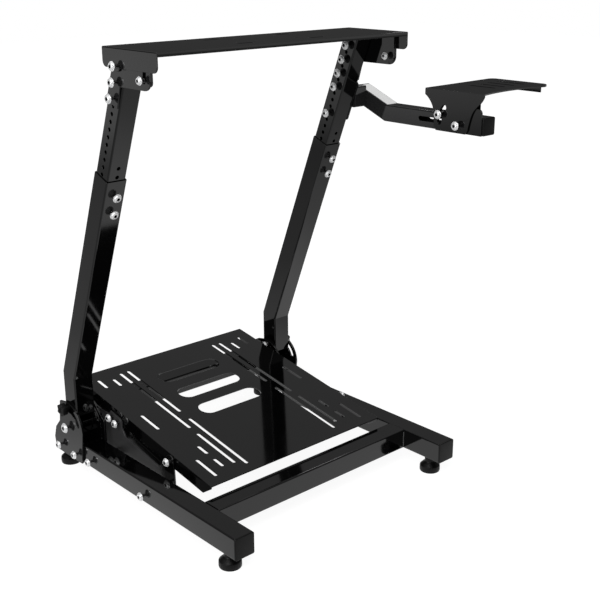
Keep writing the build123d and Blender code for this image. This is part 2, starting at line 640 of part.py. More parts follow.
# Upper tubes, with a row of adjusting holes through their sides
SIDE_ROW = [lean_point(TILT_REACH - HOLE_PITCH * index) for index in range(SIDE_HOLES)]
TILT = SIDE_ROW[0]
for side, sign in SIDES:
    upper_end = Plane(
        origin=spot(sign * RAIL_X, *lean_point(UPPER_START)),
        x_dir=(1, 0, 0),
        z_dir=(0, -sin(radians(LEAN)), cos(radians(LEAN))),
    )
    upper_length = TILT_REACH - UPPER_START + UPPER_TUBE
    plain_tube = straight_tube(upper_end, upper_length, UPPER_TUBE, UPPER_WALL, TUBE_CORNER)
    with BuildPart() as upper_tube:
        add(plain_tube)
        with BuildSketch(Plane.XY.offset(BASE_Z + UPPER_TOP_LIFT)):
            with Locations((CENTRE_X + sign * RAIL_X, FRONT_Y + TILT[0])):
                Rectangle(3 * UPPER_TUBE, 4 * UPPER_TUBE)
        extrude(amount=2 * UPPER_TUBE, mode=Mode.SUBTRACT)
        with BuildSketch(side_plane(sign * RAIL_X - TUBE)):
            with Locations(*SIDE_ROW):
                Circle(HOLE_RADIUS)
            with Locations(TILT):
                Circle(BOLT)
        extrude(amount=2 * TUBE, mode=Mode.SUBTRACT)
        front_row = Plane(
            origin=spot(sign * RAIL_X, *lean_point(LOWER_REACH + FRONT_HOLE_RISE, -TUBE / 2)),
            x_dir=(1, 0, 0),
            z_dir=(0, cos(radians(LEAN)), sin(radians(LEAN))),
        )
        with BuildSketch(front_row):
            with Locations(*[(0, FRONT_HOLE_PITCH * index) for index in range(FRONT_HOLES)]):
                Circle(HOLE_RADIUS)
        extrude(amount=TUBE / 4, mode=Mode.SUBTRACT)
    upper_tube.part.label = f"{side}_upper_tube"
    export_step(upper_tube.part, f"parts/{side}_upper_tube.step")

# Tilt brackets on the outer faces of the upper tubes
CLAMP = (TILT[0] - CLAMP_AHEAD_OF_PIVOT, WHEEL_TOP_LIFT - CLAMP_DROP)
CLAMP_RADIUS = ((TILT[0] - CLAMP[0]) ** 2 + (TILT[1] - CLAMP[1]) ** 2) ** 0.5
CLAMP_ANGLE = 180 + Vector(TILT[0] - CLAMP[0], TILT[1] - CLAMP[1]).get_angle(Vector(1, 0))
BRACKET_BOLTS = (SIDE_ROW[2], SIDE_ROW[4])
BRACKET_FOOT = TILT_REACH - BRACKET_BELOW_PIVOT
BRACKET_HALF = UPPER_TUBE / 2 - BRACKET_EDGE
TILT_ARC = orbit_arc(
    TILT,
    CLAMP_RADIUS,
    CLAMP_ANGLE - WHEEL_TILT - CLAMP_SLOT_PLAY,
    CLAMP_ANGLE + CLAMP_SLOT_PLAY,
)
for side, sign in SIDES:
    with BuildPart() as tilt_bracket:
        with BuildSketch(side_plane(sign * UPPER_OUTER)):
            with BuildLine():
                Polyline(
                    (CLAMP[0] - CLAMP_LOBE, UPPER_TOP_LIFT),
                    (CLAMP[0] - CLAMP_LOBE, CLAMP[1]),
                )
                ThreePointArc(
                    (CLAMP[0] - CLAMP_LOBE, CLAMP[1]),
                    orbit_point(CLAMP, CLAMP_LOBE, 225),
                    (CLAMP[0], CLAMP[1] - CLAMP_LOBE),
                )
                Polyline(
                    (CLAMP[0], CLAMP[1] - CLAMP_LOBE),
                    (lean_point(TILT_REACH - 3 * HOLE_PITCH, -UPPER_TUBE / 2)[0], CLAMP[1] - CLAMP_LOBE),
                    lean_point(BRACKET_FOOT, -BRACKET_HALF),
                    lean_point(BRACKET_FOOT, BRACKET_HALF),
                    lean_point(TILT_REACH, BRACKET_HALF),
                    (TILT[0] + BRACKET_BEHIND_PIVOT, UPPER_TOP_LIFT),
                    (CLAMP[0] - CLAMP_LOBE, UPPER_TOP_LIFT),
                )
            make_face()
            with Locations(TILT):
                Circle(BOLT, mode=Mode.SUBTRACT)
            with Locations(*BRACKET_BOLTS):
                Circle(HOLE_RADIUS, mode=Mode.SUBTRACT)
            SlotArc(TILT_ARC, 2 * (HOLE_RADIUS + SLOT_SLACK), mode=Mode.SUBTRACT)
        extrude(amount=sign * BRACKET_SHEET)
    tilt_bracket.part.label = f"{side}_tilt_bracket"
    export_step(tilt_bracket.part, f"parts/{side}_tilt_bracket.step")

# Bolts of the tilt brackets: all their heads are on the left, so the right ones show inside
pivot_bolts = [
    cross_bolt(-WHEEL_HALF - SLIP, -UPPER_INNER, TILT, BOLT),
    cross_bolt(UPPER_INNER, WHEEL_HALF + SLIP, TILT, BOLT),
]
with BuildPart() as tilt_pivots:
    add(pivot_bolts)
tilt_pivots.part.label = "tilt_pivots"
export_step(tilt_pivots.part, "parts/tilt_pivots.step")

BRACKET_OUT = UPPER_OUTER + BRACKET_SHEET
tube_bolts = []
for place in BRACKET_BOLTS:
    tube_bolts.append(cross_bolt(-BRACKET_OUT, -UPPER_INNER, place, HOLE_RADIUS))
    tube_bolts.append(cross_bolt(UPPER_INNER, BRACKET_OUT, place, HOLE_RADIUS))
with BuildPart() as tilt_bracket_bolts:
    add(tube_bolts)
tilt_bracket_bolts.part.label = "tilt_bracket_bolts"
export_step(tilt_bracket_bolts.part, "parts/tilt_bracket_bolts.step")

# Wheel plate: a sheet with a flange turned down at each side
WHEEL_FRONT_SETBACK = TILT[0] - WHEEL_AHEAD_OF_PIVOT
WHEEL_REAR = WHEEL_FRONT_SETBACK + WHEEL_DEPTH
with BuildPart() as wheel_plate:
    with BuildSketch(Plane.XY.offset(BASE_Z + WHEEL_TOP_LIFT)):
        with Locations((CENTRE_X, FRONT_Y + WHEEL_FRONT_SETBACK + WHEEL_DEPTH / 2)):
            Rectangle(2 * WHEEL_HALF, WHEEL_DEPTH)
        with Locations((CENTRE_X, FRONT_Y + WHEEL_FRONT_SETBACK + WHEEL_DEPTH / 2)):
            with GridLocations(*WHEEL_SLOT_SPACING, 2, 2):
                SlotOverall(WHEEL_SLOT_LENGTH, WHEEL_SLOT_WIDTH, mode=Mode.SUBTRACT)
            with GridLocations(*WHEEL_HOLE_SPACING, 2, 2):
                Circle(HOLE_RADIUS, mode=Mode.SUBTRACT)
    extrude(amount=-WHEEL_SHEET)
    for sign in SIGNS:
        with BuildSketch(side_plane(sign * TILT_FLANGE_X)):
            with BuildLine():
                FilletPolyline(
                    (WHEEL_FRONT_SETBACK, WHEEL_TOP_LIFT),
                    (WHEEL_FRONT_SETBACK, WHEEL_TOP_LIFT - WHEEL_FLANGE),
                    (WHEEL_REAR, WHEEL_TOP_LIFT - WHEEL_FLANGE),
                    (WHEEL_REAR, WHEEL_TOP_LIFT),
                    radius=WHEEL_FLANGE_CORNER,
                )
                Line((WHEEL_REAR, WHEEL_TOP_LIFT), (WHEEL_FRONT_SETBACK, WHEEL_TOP_LIFT))
            make_face()
            with Locations(TILT):
                Circle(WHEEL_PIVOT_BOSS)
                Circle(BOLT + RUN_FIT, mode=Mode.SUBTRACT)
        extrude(amount=sign * WHEEL_SHEET)
    top_edges = wheel_plate.edges().filter_by(Axis.Y).group_by(Axis.Z)[-1].sort_by(Axis.X)
    fillet([top_edges[0], top_edges[-1]], WHEEL_BEND)
wheel_plate.part.label = "wheel_plate"
export_step(wheel_plate.part, "parts/wheel_plate.step")

# Tilt tabs hang from the wheel plate and carry its clamp bolts
TAB_X = UPPER_OUTER - TILT_GAP - BRACKET_SHEET
for side, sign in SIDES:
    with BuildPart() as tilt_tab:
        with BuildSketch(side_plane(sign * TAB_X)):
            with BuildLine():
                FilletPolyline(
                    (CLAMP[0] - TAB_WIDTH / 2, WHEEL_TOP_LIFT - WHEEL_SHEET),
                    (CLAMP[0] - TAB_WIDTH / 2, CLAMP[1] - TAB_WIDTH / 3),
                    (CLAMP[0] + TAB_WIDTH / 2, CLAMP[1] - TAB_WIDTH / 3),
                    (CLAMP[0] + TAB_WIDTH / 2, WHEEL_TOP_LIFT - WHEEL_SHEET),
                    radius=TAB_WIDTH / 4,
                )
                Line(
                    (CLAMP[0] + TAB_WIDTH / 2, WHEEL_TOP_LIFT - WHEEL_SHEET),
                    (CLAMP[0] - TAB_WIDTH / 2, WHEEL_TOP_LIFT - WHEEL_SHEET),
                )
            make_face()
            with Locations(CLAMP):
                Circle(HOLE_RADIUS, mode=Mode.SUBTRACT)
        extrude(amount=sign * BRACKET_SHEET)
    tilt_tab.part.label = f"{side}_tilt_tab"
    export_step(tilt_tab.part, f"parts/{side}_tilt_tab.step")

clamp_pins = [
    cross_bolt(-BRACKET_OUT - SLIP, -TAB_X, CLAMP, HOLE_RADIUS),
    cross_bolt(TAB_X, BRACKET_OUT + SLIP, CLAMP, HOLE_RADIUS),
]
with BuildPart() as tilt_clamp_bolts:
    add(clamp_pins)
tilt_clamp_bolts.part.label = "tilt_clamp_bolts"
export_step(tilt_clamp_bolts.part, "parts/tilt_clamp_bolts.step")

# Pedal plate: a sloping sheet with slots, three large cutouts and flanged sides
pedal_plane = Plane(
    origin=spot(0, PEDAL_FRONT_SETBACK, PEDAL_FRONT_LIFT),
    x_dir=(1, 0, 0),
    z_dir=(0, -sin(radians(PEDAL_SLOPE)), cos(radians(PEDAL_SLOPE))),
)
PEDAL_ORBITS = []
for place in PEDAL_CLAMPS:
    offset = Vector(place[0] - PEDAL_PIVOT[0], place[1] - PEDAL_PIVOT[1])
    PEDAL_ORBITS.append((offset.length, -offset.get_angle(Vector(1, 0))))
with BuildPart() as pedal_plate:
    with BuildSketch(pedal_plane):
        with Locations((0, PEDAL_LENGTH / 2)):
            Rectangle(PEDAL_WIDTH, PEDAL_LENGTH)
        for x, near, far in PEDAL_FRONT_SLOTS:
            with Locations((x, (near + far) / 2), (-x, (near + far) / 2)):
                SlotOverall(far - near, PEDAL_SLOT_WIDTH, rotation=90, mode=Mode.SUBTRACT)
        for x, near, far in PEDAL_REAR_SLOTS:
            middle = PEDAL_LENGTH - (near + far) / 2
            with Locations((x, middle), (-x, middle)):
                SlotOverall(far - near, PEDAL_SLOT_WIDTH, rotation=90, mode=Mode.SUBTRACT)
        with Locations(*[(0, along) for along in PEDAL_CUTOUTS]):
            SlotOverall(PEDAL_CUTOUT_LENGTH, PEDAL_CUTOUT_WIDTH, mode=Mode.SUBTRACT)
    extrude(amount=-PEDAL_SHEET)
    for sign in SIGNS:
        flange_plane = Plane(
            origin=spot(sign * PEDAL_HALF, PEDAL_FRONT_SETBACK, PEDAL_FRONT_LIFT),
            x_dir=(0, cos(radians(PEDAL_SLOPE)), sin(radians(PEDAL_SLOPE))),
            z_dir=(1, 0, 0),
        )
        with BuildSketch(flange_plane):
            with BuildLine():
                Polyline(
                    (0, 0),
                    (0, -PEDAL_NOSE[1]),
                    (PEDAL_NOSE[0], -PEDAL_FLANGE),
                    (PEDAL_CLAMPS[1][0] - PEDAL_EAR[0], -PEDAL_FLANGE),
                    (PEDAL_CLAMPS[1][0] - PEDAL_EAR[0] + PEDAL_EAR_TAPER, -PEDAL_EAR_DROP),
                    (PEDAL_CLAMPS[0][0] + PEDAL_EAR[1] - PEDAL_EAR_TAPER, -PEDAL_EAR_DROP),
                    (PEDAL_CLAMPS[0][0] + PEDAL_EAR[1], -PEDAL_FLANGE),
                    (PEDAL_LENGTH - PEDAL_TAIL, -PEDAL_FLANGE),
                    (PEDAL_LENGTH, -PEDAL_FLANGE + PEDAL_TAIL),
                    (PEDAL_LENGTH, 0),
                    close=True,
                )
            make_face()
            with Locations(PEDAL_PIVOT):
                Circle(BOLT + RUN_FIT, mode=Mode.SUBTRACT)
            for radius, angle in PEDAL_ORBITS:
                start = angle - PEDAL_TILT - PEDAL_SLOT_PLAY
                ear_arc = orbit_arc(PEDAL_PIVOT, radius, start, angle + PEDAL_SLOT_PLAY)
                SlotArc(ear_arc, 2 * (BOLT + SLOT_SLACK), mode=Mode.SUBTRACT)
        extrude(amount=-sign * PEDAL_SHEET)
pedal_plate.part.label = "pedal_plate"
export_step(pedal_plate.part, "parts/pedal_plate.step")

# Shifter mount: a plate bolted to the right upper tube and a stub that reaches out to the arm
MOUNT_PLACES = [SIDE_ROW[index] for index in MOUNT_HOLES]
mount_plane = Plane(
    origin=spot(UPPER_OUTER, *lean_point(MOUNT_REACH)),
    x_dir=(0, cos(radians(LEAN)), sin(radians(LEAN))),
    z_dir=(1, 0, 0),
)
with BuildPart() as shifter_mount_plate:
    with BuildSketch(mount_plane):
        RectangleRounded(UPPER_TUBE, MOUNT_LENGTH, MOUNT_CORNER)
    extrude(amount=MOUNT_SHEET)
    with BuildSketch(side_plane(UPPER_OUTER)):
        with Locations(*MOUNT_PLACES):
            Circle(HOLE_RADIUS)
    extrude(amount=MOUNT_SHEET, mode=Mode.SUBTRACT)
shifter_mount_plate.part.label = "shifter_mount_plate"
export_step(shifter_mount_plate.part, "parts/shifter_mount_plate.step")

stub_plane = Plane(
    origin=spot(UPPER_OUTER + MOUNT_SHEET, *STUB_MIDDLE),
    x_dir=(0, 1, 0),
    z_dir=(1, 0, 0),
)
stub_tube = straight_tube(stub_plane, STUB_LENGTH, TUBE, TUBE_WALL, TUBE_CORNER)
with BuildPart() as shifter_stub:
    add(stub_tube)
shifter_stub.part.label = "shifter_stub"
export_step(shifter_stub.part, "parts/shifter_stub.step")

# The mount bolts screw into the mount plate, which is tapped
stub_bolts = []
for place in MOUNT_PLACES:
    stub_bolts.append(cross_bolt(UPPER_INNER, UPPER_OUTER + MOUNT_SHEET, place, HOLE_RADIUS, nut=False))
with BuildPart() as shifter_mount_bolts:
    add(stub_bolts)
shifter_mount_bolts.part.label = "shifter_mount_bolts"
export_step(shifter_mount_bolts.part, "parts/shifter_mount_bolts.step")

# Shifter arm: drops square to the upright, then runs level toward the driver
ARM_MID_X = ARM_X + ARM / 2
ARM_REAR_LIFT = ARM_LIFT + (ARM_REAR_SETBACK - ARM_KNEE_SETBACK) * tan(radians(LEAN))
arm_rear = spot(ARM_MID_X, ARM_REAR_SETBACK, ARM_REAR_LIFT)
arm_knee = spot(ARM_MID_X, ARM_KNEE_SETBACK, ARM_LIFT)
arm_front = spot(ARM_MID_X, ARM_FRONT_SETBACK, ARM_LIFT)
ARM_PIVOT = arm_point(*SHIFTER_PIVOT)
ARM_CLAMP = orbit_point(ARM_PIVOT, SHIFTER_ORBIT, SHIFTER_CLAMP_ANGLE)
CLAMP_ARC = orbit_arc(
    ARM_PIVOT,
    SHIFTER_ORBIT,
    SHIFTER_CLAMP_ANGLE - SHIFTER_SLOT_SWEEP,
    SHIFTER_CLAMP_ANGLE + SHIFTER_SLOT_SWEEP,
)
arm_tube = bent_tube([arm_rear, arm_knee, arm_front], ARM, ARM_WALL, ARM_CORNER)
with BuildPart() as shifter_arm:
    add(arm_tube)
    with BuildSketch(side_plane(ARM_X - 1)):
        with Locations(ARM_PIVOT):
            Circle(BOLT)
        with Locations(arm_point(sum(ARM_SLOT) / 2, 0)):
            SlotOverall(ARM_SLOT[1] - ARM_SLOT[0], 2 * (BOLT + SLIP))
    extrude(amount=ARM + 2, mode=Mode.SUBTRACT)
shifter_arm.part.label = "shifter_arm"
export_step(shifter_arm.part, "parts/shifter_arm.step")

ARM_PLUG = ARM - 2 * ARM_WALL - 2 * CAP_FIT
arm_slope = (0, cos(radians(LEAN)), sin(radians(LEAN)))
with BuildPart() as shifter_arm_caps:
    for origin, outward in ((arm_front, (0, -1, 0)), (arm_rear, arm_slope)):
        cap_plane = Plane(origin=origin, x_dir=(1, 0, 0), z_dir=outward)
        with BuildSketch(cap_plane):
            RectangleRounded(ARM, ARM, ARM_CORNER)
        extrude(amount=CAP_LIP)
        with BuildSketch(cap_plane):
            RectangleRounded(ARM_PLUG, ARM_PLUG, ARM_CORNER)
        extrude(amount=-CAP_PLUG)
shifter_arm_caps.part.label = "shifter_arm_caps"
export_step(shifter_arm_caps.part, "parts/shifter_arm_caps.step")

# Clevis plate on the arm, behind the shifter plate's flange
with BuildPart() as shifter_clevis:
    with BuildSketch(side_plane(ARM_X - CLEVIS_SHEET)):
        with BuildLine():
            FilletPolyline(
                arm_point(0, -ARM / 2),
                arm_point(0, CLEVIS_RISE),
                arm_point(CLEVIS_LENGTH, CLEVIS_RISE),
                arm_point(CLEVIS_LENGTH, -ARM / 2),
                radius=CLEVIS_CORNER,
            )
            Line(arm_point(CLEVIS_LENGTH, -ARM / 2), arm_point(0, -ARM / 2))
        make_face()
        with Locations(ARM_PIVOT):
            Circle(BOLT, mode=Mode.SUBTRACT)
        SlotArc(CLAMP_ARC, 2 * (BOLT + SLOT_SLACK), mode=Mode.SUBTRACT)
    extrude(amount=CLEVIS_SHEET)
shifter_clevis.part.label = "shifter_clevis"
export_step(shifter_clevis.part, "parts/shifter_clevis.step")

# Shifter plate: a flange on the arm's inner side bent over into a level table
TABLE_FRONT = -SHIFTER_OVERHANG
TABLE_REAR = SHIFTER_DEPTH - SHIFTER_OVERHANG
TABLE_NOSE = SHIFTER_REACH - SHIFTER_NOSE
FLANGE_REAR = TABLE_REAR - SHIFTER_SKEW
front_curve = [arm_point(TABLE_FRONT, SHIFTER_RISE - SHIFTER_FRONT_DROP)]
front_curve.extend(arm_point(*place) for place in SHIFTER_FRONT_CURVE)
rear_curve = [arm_point(*place) for place in SHIFTER_REAR_CURVE]
rear_curve.append(arm_point(FLANGE_REAR, SHIFTER_RISE - SHIFTER_REAR_DROP))
flange_foot = [arm_point(behind, -ARM / 2) for behind in SHIFTER_FOOT]
lip_front = TABLE_FRONT + SHIFTER_NOSE
lip_rear = TABLE_REAR - SHIFTER_CORNER
table_plane = Plane(
    origin=spot(SHIFTER_FLANGE_X, *arm_point(0, SHIFTER_RISE)), x_dir=(1, 0, 0), z_dir=(0, 0, 1)
)
lip_plane = Plane(
    origin=spot(SHIFTER_FLANGE_X + SHIFTER_REACH, *arm_point(0, 0)), x_dir=(0, 1, 0), z_dir=(1, 0, 0)
)
with BuildPart() as shifter_plate:
    with BuildSketch(side_plane(SHIFTER_FLANGE_X)):
        with BuildLine():
            Line(arm_point(TABLE_FRONT, SHIFTER_RISE), front_curve[0])
            Spline(*front_curve)
            Polyline(front_curve[-1], *flange_foot, rear_curve[0])
            Spline(*rear_curve)
            Polyline(
                rear_curve[-1],
                arm_point(FLANGE_REAR, SHIFTER_RISE),
                arm_point(TABLE_FRONT, SHIFTER_RISE),
            )
        make_face()
        with Locations(ARM_PIVOT):
            Circle(BOLT + RUN_FIT, mode=Mode.SUBTRACT)
        SlotArc(CLAMP_ARC, 2 * (BOLT + SLOT_SLACK), mode=Mode.SUBTRACT)
    extrude(amount=SHIFTER_SHEET)
    with BuildSketch(table_plane):
        with BuildLine():
            Line((0, FLANGE_REAR), (0, TABLE_FRONT))
            ThreePointArc(
                (0, TABLE_FRONT),
                (TABLE_NOSE / 2, TABLE_FRONT + SHIFTER_BOW),
                (TABLE_NOSE, TABLE_FRONT),
            )
            ThreePointArc(
                (TABLE_NOSE, TABLE_FRONT),
                (SHIFTER_REACH - SHIFTER_NOSE / 3, TABLE_FRONT + SHIFTER_NOSE / 3),
                (SHIFTER_REACH, lip_front),
            )
            Line((SHIFTER_REACH, lip_front), (SHIFTER_REACH, lip_rear))
            ThreePointArc(
                (SHIFTER_REACH, lip_rear),
                (SHIFTER_REACH - 0.3 * SHIFTER_CORNER, TABLE_REAR - 0.3 * SHIFTER_CORNER),
                (SHIFTER_REACH - SHIFTER_CORNER, TABLE_REAR),
            )
            Line((SHIFTER_REACH - SHIFTER_CORNER, TABLE_REAR), (0, FLANGE_REAR))
        make_face()
        with Locations(*[(x, (TABLE_FRONT + TABLE_REAR) / 2) for x in SHIFTER_SLOT_XS]):
            SlotOverall(SHIFTER_SLOT_LENGTH, SHIFTER_SLOT_WIDTH, rotation=90, mode=Mode.SUBTRACT)
    extrude(amount=-SHIFTER_SHEET)
    with BuildSketch(lip_plane):
        with Locations(((lip_front + lip_rear) / 2, SHIFTER_RISE - SHIFTER_LIP / 2)):
            Rectangle(lip_rear - lip_front, SHIFTER_LIP)
    extrude(amount=-SHIFTER_SHEET)
    lip_edges = shifter_plate.edges().filter_by(Axis.Y).group_by(Axis.X)[-1]
    fillet(lip_edges.sort_by(Axis.Z)[-1], SHIFTER_BEND)
shifter_plate.part.label = "shifter_plate"
export_step(shifter_plate.part, "parts/shifter_plate.step")

shifter_fixings = [
    cross_bolt(SHIFTER_FLANGE_X - SLIP, ARM_X + ARM, ARM_PIVOT, BOLT),
    cross_bolt(SHIFTER_FLANGE_X - SLIP, ARM_X, ARM_CLAMP, BOLT, nut=False),
]
with BuildPart() as shifter_bolts:
    add(shifter_fixings)
shifter_bolts.part.label = "shifter_bolts"
export_step(shifter_bolts.part, "parts/shifter_bolts.step")
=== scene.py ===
import bmesh
import bpy
import json
import math
from mathutils import Matrix, Vector


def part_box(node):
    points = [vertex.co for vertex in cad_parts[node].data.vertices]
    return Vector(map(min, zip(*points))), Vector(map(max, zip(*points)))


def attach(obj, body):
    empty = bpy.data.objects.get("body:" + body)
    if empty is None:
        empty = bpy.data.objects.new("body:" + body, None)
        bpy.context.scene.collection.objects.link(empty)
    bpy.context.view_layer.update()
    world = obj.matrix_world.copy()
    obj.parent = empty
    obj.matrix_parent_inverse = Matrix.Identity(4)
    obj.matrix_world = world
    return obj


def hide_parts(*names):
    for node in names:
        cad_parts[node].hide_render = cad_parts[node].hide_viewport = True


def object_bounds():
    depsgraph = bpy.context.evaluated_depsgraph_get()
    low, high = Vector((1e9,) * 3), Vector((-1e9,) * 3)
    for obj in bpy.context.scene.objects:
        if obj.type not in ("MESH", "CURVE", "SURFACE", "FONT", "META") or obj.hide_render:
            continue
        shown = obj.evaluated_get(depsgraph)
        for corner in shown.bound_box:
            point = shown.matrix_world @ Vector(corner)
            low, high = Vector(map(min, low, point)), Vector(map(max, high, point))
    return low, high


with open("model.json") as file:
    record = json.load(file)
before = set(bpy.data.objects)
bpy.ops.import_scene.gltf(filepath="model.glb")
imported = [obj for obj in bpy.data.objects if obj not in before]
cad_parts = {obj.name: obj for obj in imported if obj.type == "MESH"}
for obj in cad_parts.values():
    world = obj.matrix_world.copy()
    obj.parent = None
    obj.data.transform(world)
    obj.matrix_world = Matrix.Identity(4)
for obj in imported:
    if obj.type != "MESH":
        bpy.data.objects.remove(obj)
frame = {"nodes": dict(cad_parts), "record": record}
cadLow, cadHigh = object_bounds()
bodyOf = {node: body for body, nodes in frame["record"]["behaviour"]["bodies"].items() for node in nodes}
print("stage: frame loaded,", len(frame["nodes"]), "nodes")

# The stand's own corner: middle of the rails, front of their caps, underside of the rails.
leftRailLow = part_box("left_rail")[0]
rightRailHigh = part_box("right_rail")[1]
standMid = (leftRailLow.x + rightRailHigh.x) / 2
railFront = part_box("front_rail_caps")[0].y
railUnder = leftRailLow.z
lean = math.radians(21.8)
acrossLean = Vector((0, math.cos(lean), math.sin(lean)))


def at(x, setback, lift):
    return Vector((standMid + x / 1000, railFront + setback / 1000, railUnder + lift / 1000))


# Materials
def newMaterial(name):
    material = bpy.data.materials.new(name)
    material.use_nodes = True
    tree = material.node_tree
    shader = tree.nodes["Principled BSDF"]
    place = tree.nodes.new("ShaderNodeTexCoord")
    return material, tree, shader, place.outputs["Object"]


def noiseNode(tree, coords, scale, detail, rough=0.5):
    noise = tree.nodes.new("ShaderNodeTexNoise")
    noise.inputs["Scale"].default_value = scale
    noise.inputs["Detail"].default_value = detail
    noise.inputs["Roughness"].default_value = rough
    tree.links.new(coords, noise.inputs["Vector"])
    return noise.outputs["Fac"]


def ranged(tree, value, low, high, fromLow=0.3, fromHigh=0.7):
    node = tree.nodes.new("ShaderNodeMapRange")
    node.inputs["From Min"].default_value = fromLow
    node.inputs["From Max"].default_value = fromHigh
    node.inputs["To Min"].default_value = low
    node.inputs["To Max"].default_value = high
    tree.links.new(value, node.inputs["Value"])
    return node.outputs["Result"]


def twoTone(tree, value, dark, light, darkEnd=0.35, lightEnd=0.65):
    ramp = tree.nodes.new("ShaderNodeValToRGB")
    ramp.color_ramp.elements[0].position = darkEnd
    ramp.color_ramp.elements[0].color = (*dark, 1)
    ramp.color_ramp.elements[1].position = lightEnd
    ramp.color_ramp.elements[1].color = (*light, 1)
    tree.links.new(value, ramp.inputs["Fac"])
    return ramp.outputs["Color"]


bumpDepth = {"peel": 0.0004, "grain": 0.0002}


def bumped(tree, shader, height, strength, distance):
    bump = tree.nodes.new("ShaderNodeBump")
    bump.inputs["Strength"].default_value = strength
    bump.inputs["Distance"].default_value = distance
    tree.links.new(height, bump.inputs["Height"])
    tree.links.new(bump.outputs["Normal"], shader.inputs["Normal"])


# Paint given a setback pair is glossy in front of its first setback and satin behind its second. In front, its
# colour is also darkened as painted shade for the pedal flange's shadow.
def makePaint(name, spec):
    material, tree, shader, coords = newMaterial(name)
    cloud = noiseNode(tree, coords, spec["cloudScale"], 3)
    peel = noiseNode(tree, coords, spec["peelScale"], 2, 0.4)
    colour = twoTone(tree, cloud, spec["dark"], spec["light"])
    rough = ranged(tree, cloud, *spec["roughness"])
    if "gloss" in spec:
        near, far = (at(0, setback, 0).y for setback in spec["gloss"])
        axes = tree.nodes.new("ShaderNodeSeparateXYZ")
        tree.links.new(coords, axes.inputs["Vector"])
        # Painted shade: the colour is scaled down in front of the first setback.
        paintedShadeShare = ranged(tree, axes.outputs["Y"], spec["glossColour"], 1.0, near, far)
        paintedShadeNode = tree.nodes.new("ShaderNodeVectorMath")
        paintedShadeNode.operation = "SCALE"
        tree.links.new(colour, paintedShadeNode.inputs[0])
        tree.links.new(paintedShadeShare, paintedShadeNode.inputs["Scale"])
        colour = paintedShadeNode.outputs["Vector"]
        duller = tree.nodes.new("ShaderNodeMath")
        duller.operation = "MULTIPLY"
        tree.links.new(rough, duller.inputs[0])
        tree.links.new(ranged(tree, axes.outputs["Y"], spec["glossRough"], 1.0, near, far), duller.inputs[1])
        rough = duller.outputs["Value"]
    tree.links.new(colour, shader.inputs["Base Color"])
    tree.links.new(rough, shader.inputs["Roughness"])
    shader.inputs["IOR"].default_value = spec["ior"]
    bumped(tree, shader, peel, spec["bump"], bumpDepth["peel"])
    return material


def makeZinc(name, spec):
    material, tree, shader, coords = newMaterial(name)
    cloud = noiseNode(tree, coords, spec["cloudScale"], 4)
    grain = noiseNode(tree, coords, spec["grainScale"], 2)
    tree.links.new(twoTone(tree, cloud, spec["dark"], spec["light"]), shader.inputs["Base Color"])
    tree.links.new(ranged(tree, grain, *spec["roughness"]), shader.inputs["Roughness"])
    shader.inputs["Metallic"].default_value = spec["metallic"]
    bumped(tree, shader, grain, spec["bump"], bumpDepth["grain"])
    return material


sheetPaint = makePaint(
    "blackSheetCoat",
    {"dark": (0.0006, 0.0006, 0.0007), "light": (0.0014, 0.0014, 0.0015),
     "cloudScale": 9.0, "peelScale": 420.0,
     "roughness": (0.05, 0.09), "ior": 1.5, "bump": 0.006},
)
tubePaint = makePaint(
    "blackTubeCoat",
    {"dark": (0.0005, 0.0005, 0.0006), "light": (0.0012, 0.0012, 0.0013),
     "cloudScale": 14.0, "peelScale": 520.0,
     "roughness": (0.05, 0.085), "ior": 1.5, "bump": 0.006},
)
# Painted light: the tube paint with a paler colour, so that the shifter arm, stub and plug read lighter, as if more
# lit.
armPaintPaintedLight = makePaint(
    "blackArmCoat",
    {"dark": (0.014, 0.014, 0.0145), "light": (0.018, 0.018, 0.0185),
     "cloudScale": 14.0, "peelScale": 520.0,
     "roughness": (0.05, 0.085), "ior": 1.5, "bump": 0.006},
)
# Painted light on the pedal brackets: a paler, rougher copy of the black paint. Its paler colour is a painted
# reflection of the grey floor, and it is darkened in front of setback 272 as painted shade.
satinPaintedReflectionAndShade = makePaint(
    "blackSatinCoat",
    {"dark": (0.024, 0.024, 0.0245), "light": (0.032, 0.032, 0.0325),
     "cloudScale": 12.0, "peelScale": 700.0,
     "roughness": (0.32, 0.42), "ior": 1.5, "bump": 0.02, "gloss": (272.0, 298.0),
     "glossColour": 0.04, "glossRough": 0.2},
)
moulded = makePaint(
    "blackMouldedPlastic",
    {"dark": (0.0015, 0.0015, 0.0015), "light": (0.003, 0.003, 0.003),
     "cloudScale": 30.0, "peelScale": 1500.0,
     "roughness": (0.36, 0.46), "ior": 1.28, "bump": 0.08},
)
zinc = makeZinc(
    "brightZinc",
    {"dark": (0.80, 0.81, 0.82), "light": (0.90, 0.90, 0.90),
     "cloudScale": 160.0, "grainScale": 2200.0,
     "roughness": (0.26, 0.38), "metallic": 0.5, "bump": 0.04},
)
print("stage: materials made")


# Mesh helpers
def freshVerts(mesh, before):
    return [vert for vert in mesh.verts if vert not in before]


def edgesOf(verts):
    return list({edge for vert in verts for edge in vert.link_edges})


def levelEdges(verts):
    return [edge for edge in edgesOf(verts) if abs(edge.verts[0].co.z - edge.verts[1].co.z) < 1e-9]


def facing(axis, origin):
    turn = Vector((0, 0, 1)).rotation_difference(Vector(axis)).to_matrix().to_4x4()
    return Matrix.Translation(origin) @ turn


def eased(mesh, edges, offset, segments):
    bmesh.ops.bevel(
        mesh, geom=edges, offset=offset, offset_type="OFFSET", segments=segments, profile=0.5, affect="EDGES",
        material=-1,
    )


